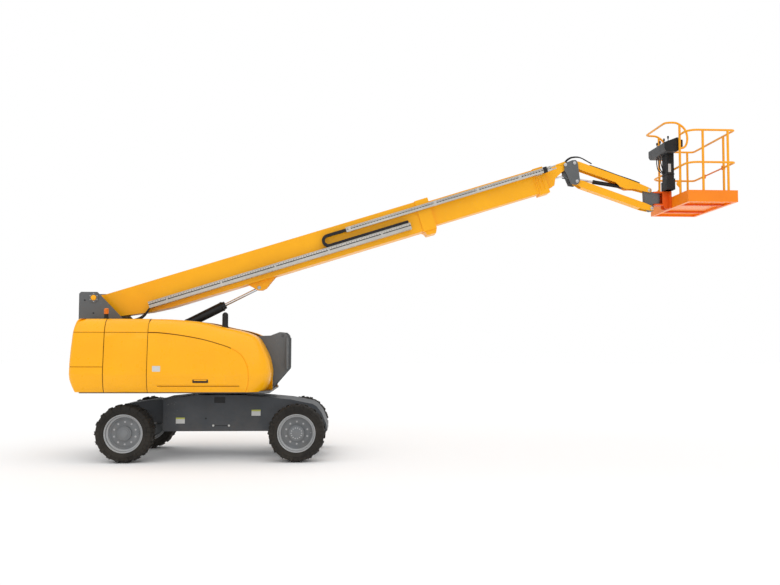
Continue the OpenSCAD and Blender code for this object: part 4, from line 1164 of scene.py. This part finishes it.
def build_console_controls():
    bm = bmesh.new()
    for y, size in ((-0.34, 1.0), (-0.12, 0.8), (0.10, 1.0), (0.27, 0.8)):
        boot = [(0.036 * size, -0.01), (0.036 * size, 0.006), (0.028 * size, 0.016), (0.020 * size, 0.030),
                (0.012 * size, 0.040)]
        grip = [(0.008, 0.050), (0.008, 0.085), (0.015, 0.094), (0.019, 0.110), (0.018, 0.135),
                (0.012, 0.145), (0, 0.147)]
        add_turned(bm, panel_point(-0.15, y), UP, boot + grip, 24, 0)
    switch = [(0.011, -0.01), (0.011, 0.004), (0.006, 0.008), (0.004, 0.030), (0.005, 0.034), (0, 0.035)]
    for i in range(9):
        add_turned(bm, panel_point(-0.062, -0.42 + 0.085 * i), UP, switch, 14, 2)
    stop = [(0.022, -0.01), (0.022, 0.008), (0.014, 0.010), (0.014, 0.018), (0.026, 0.022), (0.026, 0.034),
            (0.018, 0.042), (0, 0.044)]
    add_turned(bm, panel_point(-0.10, 0.36), UP, stop, 28, 1)
    low, high = panel_point(-0.235, 0), panel_point(-0.19, 0)
    for y0, y1 in ((-0.46, -0.22), (-0.04, 0.34)):
        corners = ((low, y0), (high, y0), (high, y1), (low, y1))
        blank = bm.faces.new([bm.verts.new(Vector((p.x, y, p.z + 0.001))) for p, y in corners])
        blank.material_index = 3
    piece("console_controls", bm, ["plastic", "red_knob", "steel", "pale"], "platform",
          smooth=35)


def build_console_ends():
    place = Matrix.Translation(at(RAIL_X0, 0, TOP_RAIL))
    near, far = CONSOLE_Y
    bm = bmesh.new()
    for y in (near - 0.012, far):
        add_plate(bm, CONSOLE_SIDE, y, y + 0.012, place)
    guard = [(0.050, -0.245), (0.085, -0.225), (0.085, -0.085), (0.050, -0.080)]
    add_plate(bm, guard, near - 0.010, near + 0.16, place)
    piece("console_ends", bm, "plastic", "platform", bevel=0.008, segments=3)


def build_valve_case():
    """The black case below the console, with a foot, a belt, cooling ribs and a blank sheet."""
    place = Matrix.Translation(at(RAIL_X0, 0, 0))
    near, far = CASE_Y
    bm = bmesh.new()
    for (x0, x1), (z0, z1, z2), proud in (
            ((-0.165, -0.020), (5.330, 6.085, 6.085), 0.0),
            ((-0.182, -0.006), (5.330, 5.560, 5.520), 0.02),
            ((-0.176, -0.012), (5.640, 5.660, 5.660), 0.012)):
        add_plate(bm, [(x0, z0), (x1, z0), (x1, z1), (x0, z2)], near - proud, far + proud, place)
    for i in range(9):
        z = 5.90 + 0.018 * i
        rib = [(-0.150, z), (-0.040, z), (-0.040, z + 0.009), (-0.150, z + 0.009)]
        add_plate(bm, rib, near - 0.004, near + 0.01, place)
    piece("valve_case", bm, "plastic", "platform", bevel=0.010, segments=3)
    bm = bmesh.new()
    sheet = [(-0.140, 5.690), (-0.085, 5.690), (-0.085, 5.860), (-0.140, 5.860)]
    add_plate(bm, sheet, near - 0.0015, near, place)
    piece("blank_sheet", bm, "pale", "platform")


def build_console_cables():
    for i in range(3):
        y = -0.10 + 0.11 * i
        drop = [(-0.20, y, -0.300), (-0.215, y, -0.36), (-0.225, y - 0.02, -0.47), (-0.205, y - 0.05, -0.60),
                (-0.17, y * 0.3 - 0.12, -0.70), (-0.12, y * 0.3 - 0.14, -0.74)]
        points = smooth_path([at(RAIL_X0 + x, y_at, TOP_RAIL + z) for x, y_at, z in drop], 24)
        hose("console_cable_%d" % i, points, 0.010, "platform")


# ---------------------------------------------------------------- platform rails
POST_R = 0.0235
RAIL_R = 0.0210
GATE_Y = 0.48
POST_Y = 0.56
CORNER_R = 0.20
FRONT_R = 0.07
HOOP_Z = TOP_RAIL + 0.245


def arc(cx, cy, radius, start, end, z, count=7):
    angles = [math.radians(start + (end - start) * i / count) for i in range(count + 1)]
    return [at(cx + radius * math.cos(a), cy + radius * math.sin(a), z) for a in angles]


def half_loop(z, front_y, back_y, side):
    """A rail from the front, round a tight and a wide bend, to the back."""
    points = [at(RAIL_X1, front_y, z)]
    points += arc(RAIL_X1 - FRONT_R, RAIL_Y - FRONT_R, FRONT_R, 0, 90, z)
    points += arc(RAIL_X0 + CORNER_R, RAIL_Y - CORNER_R, CORNER_R, 90, 180, z, 11)
    points.append(at(RAIL_X0, back_y, z))
    return [Vector((p.x, side * p.y, p.z)) for p in points]


def bar(name, points, radius):
    bm = bmesh.new()
    add_pipe(bm, points, radius)
    piece(name, bm, "rail", "platform", smooth=60)


def add_pipe(bm, points, radius, sides=16):
    """A round bar that keeps its section through bends in any direction."""
    across = None
    rings = []
    for i, p in enumerate(points):
        d = (points[min(i + 1, len(points) - 1)] - points[max(i - 1, 0)]).normalized()
        if across is None:
            across = d.orthogonal().normalized()
        across = (across - d * across.dot(d)).normalized()
        up = d.cross(across)
        rings.append([bm.verts.new(q) for q in ring_round(p, across, up, radius, sides, sides)])
    for a, b in zip(rings, rings[1:]):
        for k in range(sides):
            j = (k + 1) % sides
            bm.faces.new([a[k], a[j], b[j], b[k]])
    bm.faces.new(rings[0])
    bm.faces.new(rings[-1])


def build_rails():
    posts = [(11.025, RAIL_Y, TOP_RAIL), (11.525, RAIL_Y, TOP_RAIL), (RAIL_X1, GATE_Y, TOP_RAIL),
             (RAIL_X0, POST_Y, HOOP_Z - 0.04)]
    for side, word in SIDES:
        bar("top_rail_" + word, half_loop(TOP_RAIL, 0.0, POST_Y, side), RAIL_R)
        bar("mid_rail_" + word, half_loop(MID_RAIL, GATE_Y, 0.0, side), RAIL_R)
        for i, (x, y, top) in enumerate(posts):
            bar("post_%s_%d" % (word, i), [at(x, side * y, FLOOR_Z), at(x, side * y, top)], POST_R)
        loop = [(0.0, -0.270, POST_Y), (0.075, -0.262, POST_Y), (0.130, -0.205, POST_Y), (0.155, -0.110, POST_Y),
                (0.152, -0.010, POST_Y), (0.122, 0.085, POST_Y), (0.070, 0.155, POST_Y), (0.0, 0.208, POST_Y),
                (-0.075, 0.240, POST_Y), (-0.150, 0.245, POST_Y), (-0.225, 0.245, POST_Y - 0.012),
                (-0.272, 0.245, POST_Y - 0.055), (-0.285, 0.245, POST_Y - 0.12), (-0.285, 0.245, 0.20),
                (-0.285, 0.245, 0.0)]
        points = smooth_path([at(RAIL_X0 + x, side * y, TOP_RAIL + z) for x, z, y in loop], 60)
        bar("console_guard_" + word, points, RAIL_R)
        bm = bmesh.new()
        y = outward(side, POST_Y - 0.007, POST_Y + 0.007)
        foot = [(0.0, 5.045), (0.030, 5.045), (0.030, 5.120), (0.0, 5.190)]
        ear = [(-0.014, 0.470), (-0.075, 0.390), (-0.080, 0.370), (-0.075, 0.350), (-0.014, 0.280)]
        for outline, height in ((foot, 0), (ear, FLOOR_Z)):
            add_plate(bm, outline, y[0], y[1], Matrix.Translation(at(RAIL_X0, 0, height)))
        obj = piece("post_gusset_" + word, bm, "rail", "platform", bevel=0.003)
        if side > 0:
            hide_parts("platform_rails")


def build_rotator_bolts():
    bm = bmesh.new()
    for z, up in ((5.0405, -1), (5.3245, 1)):
        for i in range(10):
            a = 2 * math.pi * i / 10
            add_bolt(bm, at(ROT_X + 0.078 * math.cos(a), 0.078 * math.sin(a), z), (0, 0, up), 0.008)
    piece("turn_bolts", bm, "steel", "platform")


build_deck()
build_console_tray()
build_console_controls()
build_console_ends()
build_valve_case()
build_console_cables()
build_rails()
build_rotator_bolts()


# ---------------------------------------------------------------- camera, light and floor
def build_stage():
    scene = bpy.context.scene
    scene.view_settings.view_transform = "Standard"
    floor = bpy.data.meshes.new("floor")
    size = 60.0
    corners = [(x * size, y * size, -0.002) for x, y in ((-1, -1), (1, -1), (1, 1), (-1, 1))]
    floor.from_pydata(corners, [], [(0, 1, 2, 3)])
    floor_obj = bpy.data.objects.new("floor", floor)
    scene.collection.objects.link(floor_obj)
    mat = bpy.data.materials.new("pale_floor")
    mat.use_nodes = True
    shader = mat.node_tree.nodes["Principled BSDF"]
    shader.inputs["Base Color"].default_value = (1, 1, 1, 1)
    shader.inputs["Roughness"].default_value = 0.9
    floor.materials.append(mat)
    world = bpy.data.worlds.new("studio")
    scene.world = world
    world.use_nodes = True
    tree = world.node_tree
    back = tree.nodes["Background"]
    back.inputs["Color"].default_value = (1, 1, 1, 1)
    back.inputs["Strength"].default_value = 0.66
    white = tree.nodes.new("ShaderNodeBackground")
    white.inputs["Color"].default_value = (1, 1, 1, 1)
    white.inputs["Strength"].default_value = 1.0
    path = tree.nodes.new("ShaderNodeLightPath")
    mix = tree.nodes.new("ShaderNodeMixShader")
    tree.links.new(path.outputs["Is Camera Ray"], mix.inputs["Fac"])
    tree.links.new(back.outputs["Background"], mix.inputs[1])
    tree.links.new(white.outputs["Background"], mix.inputs[2])
    tree.links.new(mix.outputs["Shader"], tree.nodes["World Output"].inputs["Surface"])
    sun = bpy.data.lights.new("key", "SUN")
    sun.energy = 1.35
    sun.angle = math.radians(110)
    sun_obj = bpy.data.objects.new("key", sun)
    sun_obj.rotation_euler = (math.radians(24), math.radians(6), math.radians(-14))
    scene.collection.objects.link(sun_obj)


CAMERA_AT = (4.1344, -16.7727, 2.286)
CAMERA_TURN = (0.0483, 0.0556, 0.0026)
CAMERA_LENS = 38.39


def build_camera():
    """The camera that was fitted to the photograph, as yaw, pitch and roll."""
    place = at(*CAMERA_AT)
    yaw, pitch, roll = CAMERA_TURN
    forward = Vector((math.sin(yaw) * math.cos(pitch), math.cos(yaw) * math.cos(pitch), math.sin(pitch)))
    right0 = Vector((math.cos(yaw), -math.sin(yaw), 0))
    up0 = right0.cross(forward)
    right = math.cos(roll) * right0 + math.sin(roll) * up0
    up = -math.sin(roll) * right0 + math.cos(roll) * up0
    data = bpy.data.cameras.new("camera")
    data.sensor_width = 36.0
    data.lens = CAMERA_LENS
    camera = bpy.data.objects.new("camera", data)
    camera.matrix_world = Matrix((
        (right.x, up.x, -forward.x, place.x), (right.y, up.y, -forward.y, place.y),
        (right.z, up.z, -forward.z, place.z), (0, 0, 0, 1)))
    bpy.context.scene.collection.objects.link(camera)
    bpy.context.scene.camera = camera


build_stage()
build_camera()
